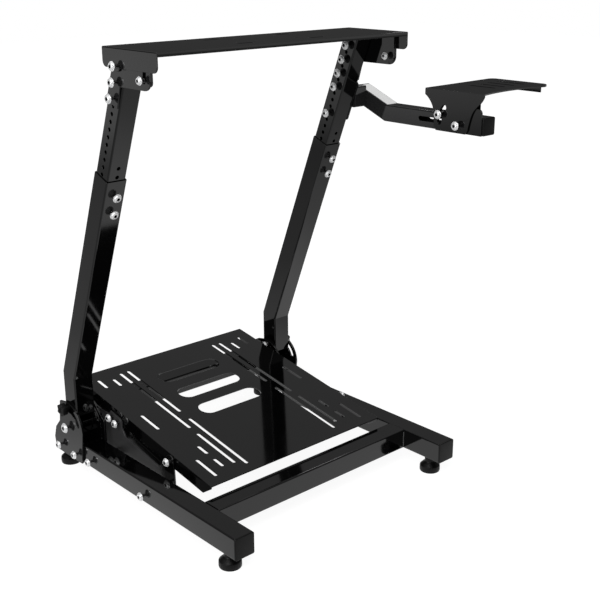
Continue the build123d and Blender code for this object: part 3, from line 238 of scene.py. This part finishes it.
def turned(mesh, profile, steps):
    before = set(mesh.verts)
    points = [mesh.verts.new((radius, 0, height)) for radius, height in profile]
    lines = [mesh.edges.new(pair) for pair in zip(points, points[1:])]
    bmesh.ops.spin(
        mesh, geom=points + lines, cent=(0, 0, 0), axis=(0, 0, 1), angle=math.tau, steps=steps, use_merge=True
    )
    bmesh.ops.remove_doubles(mesh, verts=freshVerts(mesh, before), dist=1e-7)
    return freshVerts(mesh, before)


def joinInto(mesh, part):
    data = bpy.data.meshes.new("joined")
    part.to_mesh(data)
    part.free()
    mesh.from_mesh(data)
    bpy.data.meshes.remove(data)


def finishPiece(name, mesh, materials, body, nodes=(), smooth=35.0):
    bmesh.ops.recalc_face_normals(mesh, faces=mesh.faces)
    data = bpy.data.meshes.new(name)
    mesh.to_mesh(data)
    mesh.free()
    for material in materials:
        data.materials.append(material)
    for face in data.polygons:
        face.use_smooth = True
    data.set_sharp_from_angle(angle=math.radians(smooth))
    piece = bpy.data.objects.new(name, data)
    bpy.context.scene.collection.objects.link(piece)
    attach(piece, body)
    if nodes:
        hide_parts(*nodes)
    return piece


def mergedCopy(node):
    mesh = bmesh.new()
    mesh.from_mesh(frame["nodes"][node].data)
    bmesh.ops.remove_doubles(mesh, verts=mesh.verts, dist=1e-6)
    return mesh


def solidsOf(node):
    mesh = mergedCopy(node)
    left = set(mesh.verts)
    found = []
    while left:
        front = [left.pop()]
        group = list(front)
        while front:
            vert = front.pop()
            for edge in vert.link_edges:
                other = edge.other_vert(vert)
                if other in left:
                    left.remove(other)
                    front.append(other)
                    group.append(other)
        found.append([vert.co.copy() for vert in group])
    mesh.free()
    return found


def spanOf(points, axis):
    side = axis.cross(Vector((0, 0, 1))).normalized()
    rise = side.cross(axis)
    runs = [[point.dot(line) for point in points] for line in (axis, side, rise)]
    mids = [(min(run) + max(run)) / 2 for run in runs]
    size = max(max(run) - min(run) for run in runs[1:]) / 2
    centre = side * mids[1] + rise * mids[2]
    return centre + axis * max(runs[0]), centre + axis * min(runs[0]), size


def outward(points):
    return Vector((math.copysign(1, points[0].x - standMid), 0, 0))


# Bolts: each CAD bolt gives its line and its two ends. A bright flanged head stands on a black sleeve, and its hex
# socket is painted black as painted shade.
boltShape = {"head": 0.012, "standOff": 0.0074, "flange": 0.0014, "taper": 0.0045, "edge": 0.0003, "sleeve": 0.27,
             "sleeveFoot": 0.0006, "dome": 0.84, "crown": 0.56, "socket": 0.42, "socketDepth": 0.0034, "nut": 0.0055,
             "nutReach": 0.9375, "hexShare": 0.66, "collarShare": 0.8, "threads": 6, "shank": 0.5, "steps": 36,
             "shortest": 0.02}


def blacken(part, verts):
    for face in {face for vert in verts for face in vert.link_faces}:
        face.material_index = 1


def addSleeve(part, size):
    reach = size * boltShape["sleeve"]
    foot = boltShape["sleeveFoot"]
    profile = [(reach, boltShape["standOff"]), (reach, foot), (reach + foot, 0)]
    blacken(part, turned(part, profile, boltShape["steps"]))


def addFlangedHead(part, size):
    top = boltShape["head"]
    under = boltShape["standOff"]
    ledge = under + boltShape["flange"]
    dome = size * boltShape["dome"]
    crown = size * boltShape["crown"]
    soft = boltShape["edge"]
    turned(
        part,
        [(crown, top), (dome * 0.86, top - 0.0005), (dome * 0.95, top - 0.0012), (dome, ledge + 0.0006),
         (dome, ledge), (size - soft, ledge), (size, ledge - soft), (size, under + soft), (size - soft, under),
         (size * boltShape["sleeve"], under - boltShape["taper"])],
        boltShape["steps"],
    )
    ring = [
        edge for edge in part.edges
        if all(abs(vert.co.z - top) < 1e-8 and abs(vert.co.xy.length - crown) < 1e-7 for vert in edge.verts)
    ]
    before = set(part.verts)
    bmesh.ops.create_circle(
        part, cap_ends=True, segments=6, radius=size * boltShape["socket"],
        matrix=Matrix.Translation((0, 0, top)),
    )
    mouth = next(face for face in freshVerts(part, before)[0].link_faces)
    mouthEdges = list(mouth.edges)
    deeper = bmesh.ops.extrude_face_region(part, geom=[mouth])
    floorVerts = [item for item in deeper["geom"] if isinstance(item, bmesh.types.BMVert)]
    bmesh.ops.translate(part, vec=(0, 0, -boltShape["socketDepth"]), verts=floorVerts)
    if mouth.is_valid:
        bmesh.ops.delete(part, geom=[mouth], context="FACES_ONLY")
    # Painted shade: the socket's floor and walls take the black paint.
    blacken(part, floorVerts)
    bmesh.ops.bridge_loops(part, edges=ring + mouthEdges)


def addLockNut(part, size):
    room = boltShape["nut"]
    hexReach = size * boltShape["nutReach"]
    bore = size * boltShape["shank"]
    hexTop = room * boltShape["hexShare"]
    before = set(part.verts)
    bmesh.ops.create_cone(
        part, cap_ends=True, segments=6, radius1=hexReach, radius2=hexReach, depth=hexTop,
        matrix=Matrix.Translation((0, 0, hexTop / 2)),
    )
    rims = levelEdges(freshVerts(part, before))
    eased(part, rims, size * 0.06, 2)
    collar = hexReach * boltShape["collarShare"]
    turned(
        part,
        [(collar, hexTop - 0.0004), (collar * 0.97, room - 0.0012), (collar * 0.88, room - 0.0005),
         (bore * 1.12, room - 0.0005), (bore * 1.08, room - 0.0012)],
        boltShape["steps"],
    )
    thread = []
    threads = boltShape["threads"]
    for index in range(threads):
        crest = bore * (1.0 if index % 2 else 0.92)
        thread.append((crest, hexTop - 0.0006 + index * (room - hexTop + 0.0003) / threads))
    turned(part, thread + [(bore * 0.8, room), (0, room)], boltShape["steps"])


def dressBolts(name, spec):
    mesh = bmesh.new()
    size = spec["washer"]
    for points in solidsOf(spec["node"]):
        axis = spec["axis"] if spec["axis"] else outward(points)
        headEnd, farEnd = spanOf(points, axis)[:2]
        hasNut = spec["nut"] and (headEnd - farEnd).length > boltShape["shortest"]
        seat = headEnd - axis * (boltShape["head"] if spec["head"] else 0.0)
        inner = farEnd + axis * (boltShape["nut"] - spec.get("longer", 0.0) if hasNut else 0.0)
        if spec["head"]:
            head = bmesh.new()
            addFlangedHead(head, size)
            addSleeve(head, size)
            bmesh.ops.transform(head, matrix=facing(axis, seat), verts=head.verts)
            joinInto(mesh, head)
        shank = bmesh.new()
        bore = size * boltShape["shank"]
        length = (seat - inner).length
        blacken(shank, turned(shank, [(0, 0), (bore, 0), (bore, length), (0, length)], boltShape["steps"]))
        bmesh.ops.transform(shank, matrix=facing(axis, inner), verts=shank.verts)
        joinInto(mesh, shank)
        if hasNut:
            nut = bmesh.new()
            addLockNut(nut, size)
            bmesh.ops.transform(nut, matrix=facing(-axis, inner), verts=nut.verts)
            joinInto(mesh, nut)
    node = spec["node"]
    return finishPiece(name, mesh, [zinc, sheetPaint], bodyOf[node], [node], 40.0)


toLeft = Vector((-1, 0, 0))
hingePivotBolts = {"node": "hinge_pivots", "axis": None, "washer": 0.010, "head": True, "nut": True}
dressBolts("hingePivotBolts", hingePivotBolts)
hingePlateBolts = {"node": "hinge_plate_bolts", "axis": None, "washer": 0.008, "head": True, "nut": True}
dressBolts("hingePlateBolts", hingePlateBolts)
railBolts = {"node": "rail_bolts", "axis": None, "washer": 0.008, "head": True, "nut": True}
dressBolts("railBolts", railBolts)
pedalBolts = {"node": "pedal_bolts", "axis": None, "washer": 0.008, "head": True, "nut": True}
dressBolts("pedalBolts", pedalBolts)
lockBolts = {"node": "hinge_lock_bolts", "axis": None, "washer": 0.008, "head": False, "nut": True}
dressBolts("lockBolts", lockBolts)
heightBolts = {"node": "height_bolts", "axis": -acrossLean, "washer": 0.008, "head": True, "nut": False}
dressBolts("heightBolts", heightBolts)
tiltPivotBolts = {"node": "tilt_pivots", "axis": toLeft, "washer": 0.008, "head": True, "nut": True}
dressBolts("tiltPivotBolts", tiltPivotBolts)
tiltBracketBolts = {"node": "tilt_bracket_bolts", "axis": toLeft, "washer": 0.008, "head": True, "nut": True}
dressBolts("tiltBracketBolts", tiltBracketBolts)
tiltClampBolts = {"node": "tilt_clamp_bolts", "axis": toLeft, "washer": 0.0068, "head": True, "nut": True}
dressBolts("tiltClampBolts", tiltClampBolts)
mountBolts = {"node": "shifter_mount_bolts", "axis": toLeft, "washer": 0.008, "head": True, "nut": False}
dressBolts("mountBolts", mountBolts)
# The pivot's nut sits outside the cheek plate, so that bolt runs on past its CAD end.
shifterBolts = {"node": "shifter_bolts", "axis": toLeft, "washer": 0.008, "head": True, "nut": True,
                "longer": 0.0036}
dressBolts("shifterBolts", shifterBolts)
print("stage: bolts made")

# Hinge lock knobs: a star grip on a collar, with a dished top
knobShape = {"lobes": 6, "lobe": 0.0014, "collar": 0.0087, "collarRise": 0.004, "edge": 0.0014, "rim": 0.0032,
             "dish": 0.0012, "steps": 72}


def addKnob(mesh, size, height):
    before = set(mesh.verts)
    rise = knobShape["collarRise"]
    bmesh.ops.create_circle(
        mesh, cap_ends=True, segments=knobShape["steps"], radius=size - knobShape["lobe"],
        matrix=Matrix.Translation((0, 0, rise)),
    )
    outline = freshVerts(mesh, before)
    for vert in outline:
        angle = math.atan2(vert.co.y, vert.co.x)
        spread = 1 + knobShape["lobe"] * math.cos(knobShape["lobes"] * angle) / vert.co.xy.length
        bmesh.ops.scale(mesh, vec=(spread, spread, 1), verts=[vert])
    under = next(face for face in outline[0].link_faces)
    lifted = bmesh.ops.extrude_face_region(mesh, geom=[under])
    topVerts = [item for item in lifted["geom"] if isinstance(item, bmesh.types.BMVert)]
    bmesh.ops.translate(mesh, vec=(0, 0, height - rise), verts=topVerts)
    eased(mesh, levelEdges(freshVerts(mesh, before)), knobShape["edge"], 4)
    faces = {face for vert in freshVerts(mesh, before) for face in vert.link_faces}
    crown = max(faces, key=lambda face: (round(face.calc_center_median().z, 6), face.calc_area()))
    bmesh.ops.inset_region(mesh, faces=[crown], thickness=knobShape["rim"], depth=0)
    bmesh.ops.inset_region(mesh, faces=[crown], thickness=0.0012, depth=-knobShape["dish"])
    collar = knobShape["collar"]
    turned(
        mesh,
        [(0, 0), (collar - 0.0004, 0), (collar, 0.0004), (collar, rise - 0.0006),
         (collar * 1.06, rise + 0.0004)],
        knobShape["steps"],
    )


knobMesh = bmesh.new()
for points in solidsOf("hinge_lock_knobs"):
    axis = outward(points)
    tip, root, size = spanOf(points, axis)
    knob = bmesh.new()
    addKnob(knob, size, (tip - root).length)
    bmesh.ops.transform(knob, matrix=facing(axis, root), verts=knob.verts)
    joinInto(knobMesh, knob)
finishPiece("lockKnobs", knobMesh, [moulded], "uprights", ["hinge_lock_knobs"], 40.0)
print("stage: knobs made")

# Levelling feet: a moulded body with grip ribs and a neck
footShape = {"steps": 48, "ribs": 24, "rib": (0.0009, 0.0016, 0.0066), "ribEdge": 0.00035, "ribLift": 0.0064}


def makeFoot(name, node):
    low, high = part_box(node)
    middle = Vector(((low.x + high.x) / 2, (low.y + high.y) / 2, low.z))
    radius = (high.x - low.x) / 2
    neckTop = railUnder - low.z
    mesh = bmesh.new()
    turned(
        mesh,
        [(0, 0.0008), (radius * 0.2, 0.0008), (radius * 0.24, 0), (radius - 0.0022, 0),
         (radius - 0.0006, 0.0005), (radius, 0.0018), (radius, 0.0110), (radius - 0.0004, 0.0122),
         (radius - 0.0018, 0.0132),
         (radius * 0.70, 0.0176), (radius * 0.60, 0.0190), (radius * 0.535, 0.0204), (radius * 0.52, 0.0225),
         (radius * 0.52, neckTop - 0.0012), (radius * 0.49, neckTop), (0.004, neckTop)],
        footShape["steps"],
    )
    for index in range(footShape["ribs"]):
        before = set(mesh.verts)
        bmesh.ops.create_cube(mesh, size=1.0, matrix=Matrix.Diagonal((*footShape["rib"], 1)))
        eased(mesh, edgesOf(freshVerts(mesh, before)), footShape["ribEdge"], 2)
        turn = Matrix.Rotation(math.tau * index / footShape["ribs"], 4, "Z")
        place = Matrix.Translation((radius - 0.0003, 0, footShape["ribLift"]))
        bmesh.ops.transform(mesh, matrix=turn @ place, verts=freshVerts(mesh, before))
    bmesh.ops.transform(mesh, matrix=Matrix.Translation(middle), verts=mesh.verts)
    return finishPiece(name, mesh, [moulded], "base", [node])


for end in ("front", "rear"):
    for side in ("left", "right"):
        makeFoot(end + side.capitalize() + "Foot", end + "_" + side + "_foot")
print("stage: feet made")

# Plastic end caps: a flat face with rounded corners and a rounded rim
capShape = {"lip": 0.003, "corner": 0.003, "rim": 0.0012}


def addCap(mesh, origin, axis, width):
    before = set(mesh.verts)
    lip = capShape["lip"]
    bmesh.ops.create_cube(
        mesh, size=1.0, matrix=Matrix.Translation((0, 0, lip / 2)) @ Matrix.Diagonal((width, width, lip, 1))
    )
    posts = [
        edge for edge in edgesOf(freshVerts(mesh, before))
        if abs(edge.verts[0].co.z - edge.verts[1].co.z) > lip / 2
    ]
    eased(mesh, posts, capShape["corner"], 6)
    faces = {face for vert in freshVerts(mesh, before) for face in vert.link_faces}
    front = max(faces, key=lambda face: face.calc_center_median().z)
    eased(mesh, list(front.edges), capShape["rim"], 4)
    bmesh.ops.transform(mesh, matrix=facing(axis, origin), verts=freshVerts(mesh, before))


def capRow(name, node, axisOf):
    mesh = bmesh.new()
    for points in solidsOf(node):
        axis = axisOf(points)
        tip = spanOf(points, axis)[0]
        width = max(point.x for point in points) - min(point.x for point in points)
        cap = bmesh.new()
        addCap(cap, tip - axis * capShape["lip"], axis, width)
        joinInto(mesh, cap)
    return finishPiece(name, mesh, [moulded], bodyOf[node], [node])


armMid = sum(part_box("shifter_arm"), Vector()) / 2
forward = Vector((0, -1, 0))
capRow("frontRailCaps", "front_rail_caps", lambda points: forward)
capRow("rearRailCaps", "rear_rail_caps", lambda points: -forward)
capRow("armCaps", "shifter_arm_caps", lambda points: forward if points[0].y < armMid.y else acrossLean)
print("stage: caps made")

# Tubes and sheet: each CAD shape with its sharp edges eased as a coat of paint leaves them. Large flat faces keep
# their own normals, so that they mirror as flat sheet does.
edgeShape = {"flat": 0.4, "corner": 50.0, "large": 1e-4, "ease": 0.00035, "segments": 2}
sheetWords = ("plate", "bracket", "tab", "clevis")
satinNodes = ("left_pedal_bracket", "right_pedal_bracket")
armNodes = ("shifter_arm", "shifter_stub")


def easedNode(node, material):
    mesh = mergedCopy(node)
    bmesh.ops.dissolve_limit(
        mesh, angle_limit=math.radians(edgeShape["flat"]), use_dissolve_boundaries=False, verts=mesh.verts,
        edges=mesh.edges, delimit=set(),
    )
    corners = [
        edge for edge in mesh.edges
        if len(edge.link_faces) == 2 and edge.calc_face_angle() > math.radians(edgeShape["corner"])
    ]
    eased(mesh, corners, edgeShape["ease"], edgeShape["segments"])
    first, *others = node.split("_")
    name = first + "".join(word.capitalize() for word in others)
    piece = finishPiece(name, mesh, [material], bodyOf[node], [node], edgeShape["corner"])
    byEnds = {edge.key: edge for edge in piece.data.edges}
    for face in piece.data.polygons:
        if face.area > edgeShape["large"]:
            for ends in face.edge_keys:
                byEnds[ends].use_edge_sharp = True
    weighted = piece.modifiers.new("evenShading", "WEIGHTED_NORMAL")
    weighted.keep_sharp = True
    return piece


for node, nodeObject in list(frame["nodes"].items()):
    if nodeObject.hide_render:
        continue
    if node in satinNodes:
        easedNode(node, satinPaintedReflectionAndShade)
    elif node in armNodes:
        easedNode(node, armPaintPaintedLight)
    elif any(word in node for word in sheetWords):
        easedNode(node, sheetPaint)
    else:
        easedNode(node, tubePaint)
print("stage: tubes and sheet made")


def acrossSheet(edge):
    return abs(edge.verts[0].co.x - edge.verts[1].co.x) > 0.001


# Plug in the stub's open end, which reaches past its mount plate
plugShape = {"wall": 0.0022, "sheet": 0.002, "setIn": 0.0004, "corner": 0.0012}
stubLow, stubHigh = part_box("shifter_stub")
plugMid = (stubLow + stubHigh) / 2
plugMid.x = stubLow.x + plugShape["setIn"] + plugShape["sheet"] / 2
plugWide = stubHigh.z - stubLow.z - 2 * plugShape["wall"]
plug = bmesh.new()
plugSize = Matrix.Diagonal((plugShape["sheet"], plugWide, plugWide, 1))
bmesh.ops.create_cube(plug, size=1.0, matrix=Matrix.Translation(plugMid) @ plugSize)
eased(plug, [edge for edge in plug.edges if acrossSheet(edge)], plugShape["corner"], 4)
finishPiece("stubPlug", plug, [armPaintPaintedLight], "upper_frame")
print("stage: stub plug made")

# Outer cheek under the shifter plate, on the far side of the arm
cheekShape = {"setback": 27.8, "length": 0.070, "sheet": 0.003, "gap": 0.0003, "corner": 0.008,
              "ease": 0.00035}
armLow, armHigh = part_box("shifter_arm")
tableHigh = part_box("shifter_plate")[1]
cheekTop = tableHigh.z - cheekShape["sheet"]
cheekFront = at(0, cheekShape["setback"], 0).y
cheekSize = (cheekShape["sheet"], cheekShape["length"], cheekTop - armLow.z)
cheekMid = Vector((
    armHigh.x + cheekShape["gap"] + cheekShape["sheet"] / 2,
    cheekFront + cheekShape["length"] / 2,
    (cheekTop + armLow.z) / 2,
))
cheek = bmesh.new()
bmesh.ops.create_cube(cheek, size=1.0, matrix=Matrix.Translation(cheekMid) @ Matrix.Diagonal((*cheekSize, 1)))
feetEdges = [
    edge for edge in cheek.edges
    if all(vert.co.z < cheekMid.z for vert in edge.verts) and acrossSheet(edge)
]
eased(cheek, feetEdges, cheekShape["corner"], 8)
rimEdges = [edge for edge in cheek.edges if edge.calc_face_angle() > math.radians(edgeShape["corner"])]
eased(cheek, rimEdges, cheekShape["ease"], 2)
finishPiece("shifterCheek", cheek, [sheetPaint], "shifter_plate")
print("stage: shifter cheek made")

# Lip turned down along the wheel plate's front edge
lipShape = {"drop": 0.0055, "sheet": 0.0025, "inset": 0.0028, "overlap": 0.0004, "ease": 0.0006}
wheelLow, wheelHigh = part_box("wheel_plate")
lipTop = wheelHigh.z - lipShape["sheet"] + lipShape["overlap"]
lipSize = (wheelHigh.x - wheelLow.x - 2 * lipShape["inset"], lipShape["sheet"], lipShape["drop"])
lipMid = Vector((standMid, wheelLow.y + lipShape["sheet"] / 2, lipTop - lipShape["drop"] / 2))
lip = bmesh.new()
bmesh.ops.create_cube(lip, size=1.0, matrix=Matrix.Translation(lipMid) @ Matrix.Diagonal((*lipSize, 1)))
lowEdges = [edge for edge in lip.edges if all(vert.co.z < lipMid.z for vert in edge.verts)]
eased(lip, lowEdges, lipShape["ease"], 3)
finishPiece("wheelPlateLip", lip, [sheetPaint], "wheel_plate")
print("stage: wheel plate lip made")

# Stiffener strips inside the pedal plate's side flanges, between the pivot and the clamp ears
stripShape = {"near": 128.0, "far": 268.0, "top": -10.0, "bottom": -57.0, "taper": 18.0, "sheet": 0.0025,
              "flange": 0.0025, "slope": 9.32, "front": (142.0, 55.2), "ease": 0.00035}


def onPedal(x, run, rise):
    slope = math.radians(stripShape["slope"])
    setback = stripShape["front"][0] + run * math.cos(slope) - rise * math.sin(slope)
    lift = stripShape["front"][1] + run * math.sin(slope) + rise * math.cos(slope)
    return Vector((x, *at(0, setback, lift).yz))


pedalLow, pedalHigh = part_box("pedal_plate")
strips = bmesh.new()
for edgeX, inward in ((pedalLow.x, 1), (pedalHigh.x, -1)):
    near, far = stripShape["near"], stripShape["far"]
    top, bottom = stripShape["top"], stripShape["bottom"]
    x = edgeX + inward * stripShape["flange"]
    outline = [(near, top), (near + stripShape["taper"], bottom), (far, bottom), (far, top)]
    strip = bmesh.new()
    side = strip.faces.new([strip.verts.new(onPedal(x, run, rise)) for run, rise in outline])
    grown = bmesh.ops.extrude_face_region(strip, geom=[side])
    grownVerts = [item for item in grown["geom"] if isinstance(item, bmesh.types.BMVert)]
    bmesh.ops.translate(strip, vec=(inward * stripShape["sheet"], 0, 0), verts=grownVerts)
    bmesh.ops.recalc_face_normals(strip, faces=strip.faces)
    eased(strip, list(strip.edges), stripShape["ease"], 2)
    joinInto(strips, strip)
finishPiece("pedalStrips", strips, [sheetPaint], "pedal_plate")
print("stage: pedal strips made")

# Weld beads along the seams of the welded pieces
beadShape = {"reach": 0.0021, "ripple": 0.0003, "pitch": 0.0026, "sides": 10, "cutsPerPitch": 4, "inset": 0.004}


def addBead(mesh, start, end):
    run = end - start
    reach, pitch = beadShape["reach"], beadShape["pitch"]
    bead = bmesh.new()
    bmesh.ops.create_cone(
        bead, cap_ends=True, segments=beadShape["sides"], radius1=reach, radius2=reach, depth=run.length
    )
    lines = [edge for edge in bead.edges if abs(edge.verts[0].co.z - edge.verts[1].co.z) > run.length / 2]
    cuts = round(beadShape["cutsPerPitch"] * run.length / pitch)
    bmesh.ops.subdivide_edges(bead, edges=lines, cuts=cuts, use_grid_fill=True)
    for vert in bead.verts:
        swell = 1 + beadShape["ripple"] / reach * math.sin(math.tau * vert.co.z / pitch)
        bmesh.ops.scale(bead, vec=(swell, swell, 1), verts=[vert])
    bmesh.ops.transform(bead, matrix=facing(run.normalized(), (start + end) / 2), verts=bead.verts)
    joinInto(mesh, bead)


baseBeads = bmesh.new()
barLow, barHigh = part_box("front_crossbar")
rearLow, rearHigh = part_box("rear_crossbar")
inset = beadShape["inset"]
for low, high in ((barLow, barHigh), (rearLow, rearHigh)):
    for x in (low.x, high.x):
        for y in (low.y, high.y):
            addBead(baseBeads, Vector((x, y, low.z + inset)), Vector((x, y, high.z - inset)))
for x in (rearLow.x, rearHigh.x):
    top = rearHigh.z
    addBead(baseBeads, Vector((x, rearLow.y + inset, top)), Vector((x, rearHigh.y - inset, top)))
finishPiece("baseWelds", baseBeads, [tubePaint], "base")

plateBeads = bmesh.new()
for node, inner in (("left_tilt_tab", 1), ("right_tilt_tab", 0)):
    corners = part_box(node)
    low, high = corners
    x = corners[inner].x
    addBead(plateBeads, Vector((x, low.y + inset, high.z)), Vector((x, high.y - inset, high.z)))
finishPiece("wheelPlateWelds", plateBeads, [sheetPaint], "wheel_plate")
print("stage: welds made")


# Floor, world and lights
def byRay(tree, lit, mirrored, seen):
    path = tree.nodes.new("ShaderNodeLightPath")
    mirrorMix = tree.nodes.new("ShaderNodeMixShader")
    tree.links.new(path.outputs["Is Glossy Ray"], mirrorMix.inputs["Fac"])
    tree.links.new(lit, mirrorMix.inputs[1])
    tree.links.new(mirrored, mirrorMix.inputs[2])
    seenMix = tree.nodes.new("ShaderNodeMixShader")
    tree.links.new(path.outputs["Is Camera Ray"], seenMix.inputs["Fac"])
    tree.links.new(mirrorMix.outputs["Shader"], seenMix.inputs[1])
    tree.links.new(seen, seenMix.inputs[2])
    return seenMix.outputs["Shader"]


def stops(tree, value, levels):
    ramp = tree.nodes.new("ShaderNodeValToRGB")
    while len(ramp.color_ramp.elements) < len(levels):
        ramp.color_ramp.elements.new(0.5)
    for element, (position, level) in zip(ramp.color_ramp.elements, levels):
        element.position = position
        element.color = (level, level, level, 1)
    tree.links.new(value, ramp.inputs["Fac"])
    return ramp.outputs["Color"]


# Mirror levels are what the paint and the zinc reflect: of the floor by distance, of the sky by height.
studio = {"floor": 9.0, "floorLight": 0.6, "floorNear": 0.93, "floorFar": 1.0, "fade": (0.55, 0.95),
          "floorGrey": 0.2, "mirrorReach": 6.0,
          "mirrorFloor": ((0.0, 0.95), (0.067, 0.92), (0.1, 0.58), (0.2, 0.36), (0.55, 0.28), (0.75, 0.65),
                          (1.0, 0.8)),
          "sky": 0.2, "whiteBack": 1.0,
          "mirrorSky": ((0.0, 0.045), (0.2, 0.055), (0.46, 0.22), (0.72, 0.36), (0.92, 0.9))}
floorMesh = bmesh.new()
bmesh.ops.create_grid(floorMesh, x_segments=8, y_segments=8, size=studio["floor"])
floorData = bpy.data.meshes.new("studioFloor")
floorMesh.to_mesh(floorData)
floorMesh.free()
floor = bpy.data.objects.new("studioFloor", floorData)
bpy.context.scene.collection.objects.link(floor)
floorPaint = bpy.data.materials.new("paleFloor")
floorPaint.use_nodes = True
floorTree = floorPaint.node_tree
floorTree.nodes.clear()
floorOut = floorTree.nodes.new("ShaderNodeOutputMaterial")
floorPlace = floorTree.nodes.new("ShaderNodeTexCoord")
lit = floorTree.nodes.new("ShaderNodeEmission")
lit.inputs["Strength"].default_value = studio["floorLight"]
mirrored = floorTree.nodes.new("ShaderNodeEmission")
away = floorTree.nodes.new("ShaderNodeVectorMath")
away.operation = "LENGTH"
floorTree.links.new(floorPlace.outputs["Object"], away.inputs[0])
mirrorRun = ranged(floorTree, away.outputs["Value"], 0.0, 1.0, 0.0, studio["mirrorReach"])
floorTree.links.new(stops(floorTree, mirrorRun, studio["mirrorFloor"]), mirrored.inputs["Color"])
shown = floorTree.nodes.new("ShaderNodeEmission")
floorTree.links.new(
    ranged(floorTree, away.outputs["Value"], studio["floorNear"], studio["floorFar"], *studio["fade"]),
    shown.inputs["Strength"],
)
shade = floorTree.nodes.new("ShaderNodeBsdfDiffuse")
shade.inputs["Color"].default_value = (studio["floorGrey"], studio["floorGrey"], studio["floorGrey"], 1)
both = floorTree.nodes.new("ShaderNodeAddShader")
floorTree.links.new(shown.outputs["Emission"], both.inputs[0])
floorTree.links.new(shade.outputs["BSDF"], both.inputs[1])
floorTree.links.new(
    byRay(floorTree, lit.outputs["Emission"], mirrored.outputs["Emission"], both.outputs["Shader"]),
    floorOut.inputs["Surface"],
)
floorData.materials.append(floorPaint)

world = bpy.data.worlds.new("studioWorld")
bpy.context.scene.world = world
world.use_nodes = True
worldTree = world.node_tree
worldTree.nodes.clear()
worldOut = worldTree.nodes.new("ShaderNodeOutputWorld")
skyLight = worldTree.nodes.new("ShaderNodeBackground")
skyLight.inputs["Strength"].default_value = studio["sky"]
worldPlace = worldTree.nodes.new("ShaderNodeTexCoord")
height = worldTree.nodes.new("ShaderNodeSeparateXYZ")
worldTree.links.new(worldPlace.outputs["Generated"], height.inputs["Vector"])
skyMirrored = worldTree.nodes.new("ShaderNodeBackground")
worldTree.links.new(stops(worldTree, height.outputs["Z"], studio["mirrorSky"]), skyMirrored.inputs["Color"])
whiteBack = worldTree.nodes.new("ShaderNodeBackground")
whiteBack.inputs["Color"].default_value = (1, 1, 1, 1)
whiteBack.inputs["Strength"].default_value = studio["whiteBack"]
worldTree.links.new(
    byRay(worldTree, *(node.outputs["Background"] for node in (skyLight, skyMirrored, whiteBack))),
    worldOut.inputs["Surface"],
)

middle = (cadLow + cadHigh) / 2


def softBox(name, spec, target):
    lamp = bpy.data.lights.new(name, "AREA")
    lamp.shape = "RECTANGLE"
    lamp.size, lamp.size_y = spec["size"]
    lamp.energy = spec["power"]
    holder = bpy.data.objects.new(name, lamp)
    spot = target + Vector(spec["towards"]).normalized() * spec["distance"]
    aim = (spot - target).to_track_quat("Z", "Y").to_matrix().to_4x4()
    holder.matrix_world = Matrix.Translation(spot) @ aim
    holder.visible_camera = False
    bpy.context.scene.collection.objects.link(holder)
    return holder


keyBox = {"towards": (-0.55, -0.5, 0.75), "distance": 3.0, "size": (2.0, 2.0), "power": 55.0}
softBox("keyBox", keyBox, middle)
armBox = {"towards": (0.718, 0.45, 0.532), "distance": 0.9, "size": (0.28, 0.28), "power": 1.02}
softBox("armBox", armBox, at(326.0, 210.0, 705.0))
sideBox = {"towards": (-1.0, -0.1, 0.25), "distance": 3.0, "size": (1.5, 1.5), "power": 32.0}
softBox("sideBox", sideBox, middle)
print("stage: studio made")

# Camera at the photograph's place
lens = {"azimuth": -42.04, "elevation": 18.68, "roll": -0.26, "focal": 1050.81, "frame": 600.0,
        "sensor": 36.0, "reach": 60.0, "place": (-1168.41, -1155.45, 937.03)}
azimuth = math.radians(lens["azimuth"])
elevation = math.radians(lens["elevation"])
roll = math.radians(lens["roll"])
level = math.cos(elevation)
back = Vector((math.sin(azimuth) * level, -math.cos(azimuth) * level, math.sin(elevation)))
right = (-back).cross(Vector((0, 0, 1))).normalized()
up = right.cross(-back)
rightRolled = right * math.cos(roll) + up * math.sin(roll)
upRolled = up * math.cos(roll) - right * math.sin(roll)
cameraData = bpy.data.cameras.new("photoCamera")
cameraData.sensor_fit = "HORIZONTAL"
cameraData.sensor_width = lens["sensor"]
cameraData.lens = lens["focal"] / lens["frame"] * lens["sensor"]
cameraData.clip_end = lens["reach"]
camera = bpy.data.objects.new("photoCamera", cameraData)
turn = Matrix((rightRolled, upRolled, back)).transposed().to_4x4()
camera.matrix_world = Matrix.Translation(at(*lens["place"])) @ turn
bpy.context.scene.collection.objects.link(camera)
bpy.context.scene.camera = camera
bpy.context.scene.view_settings.view_transform = "Standard"
print("stage: camera set")
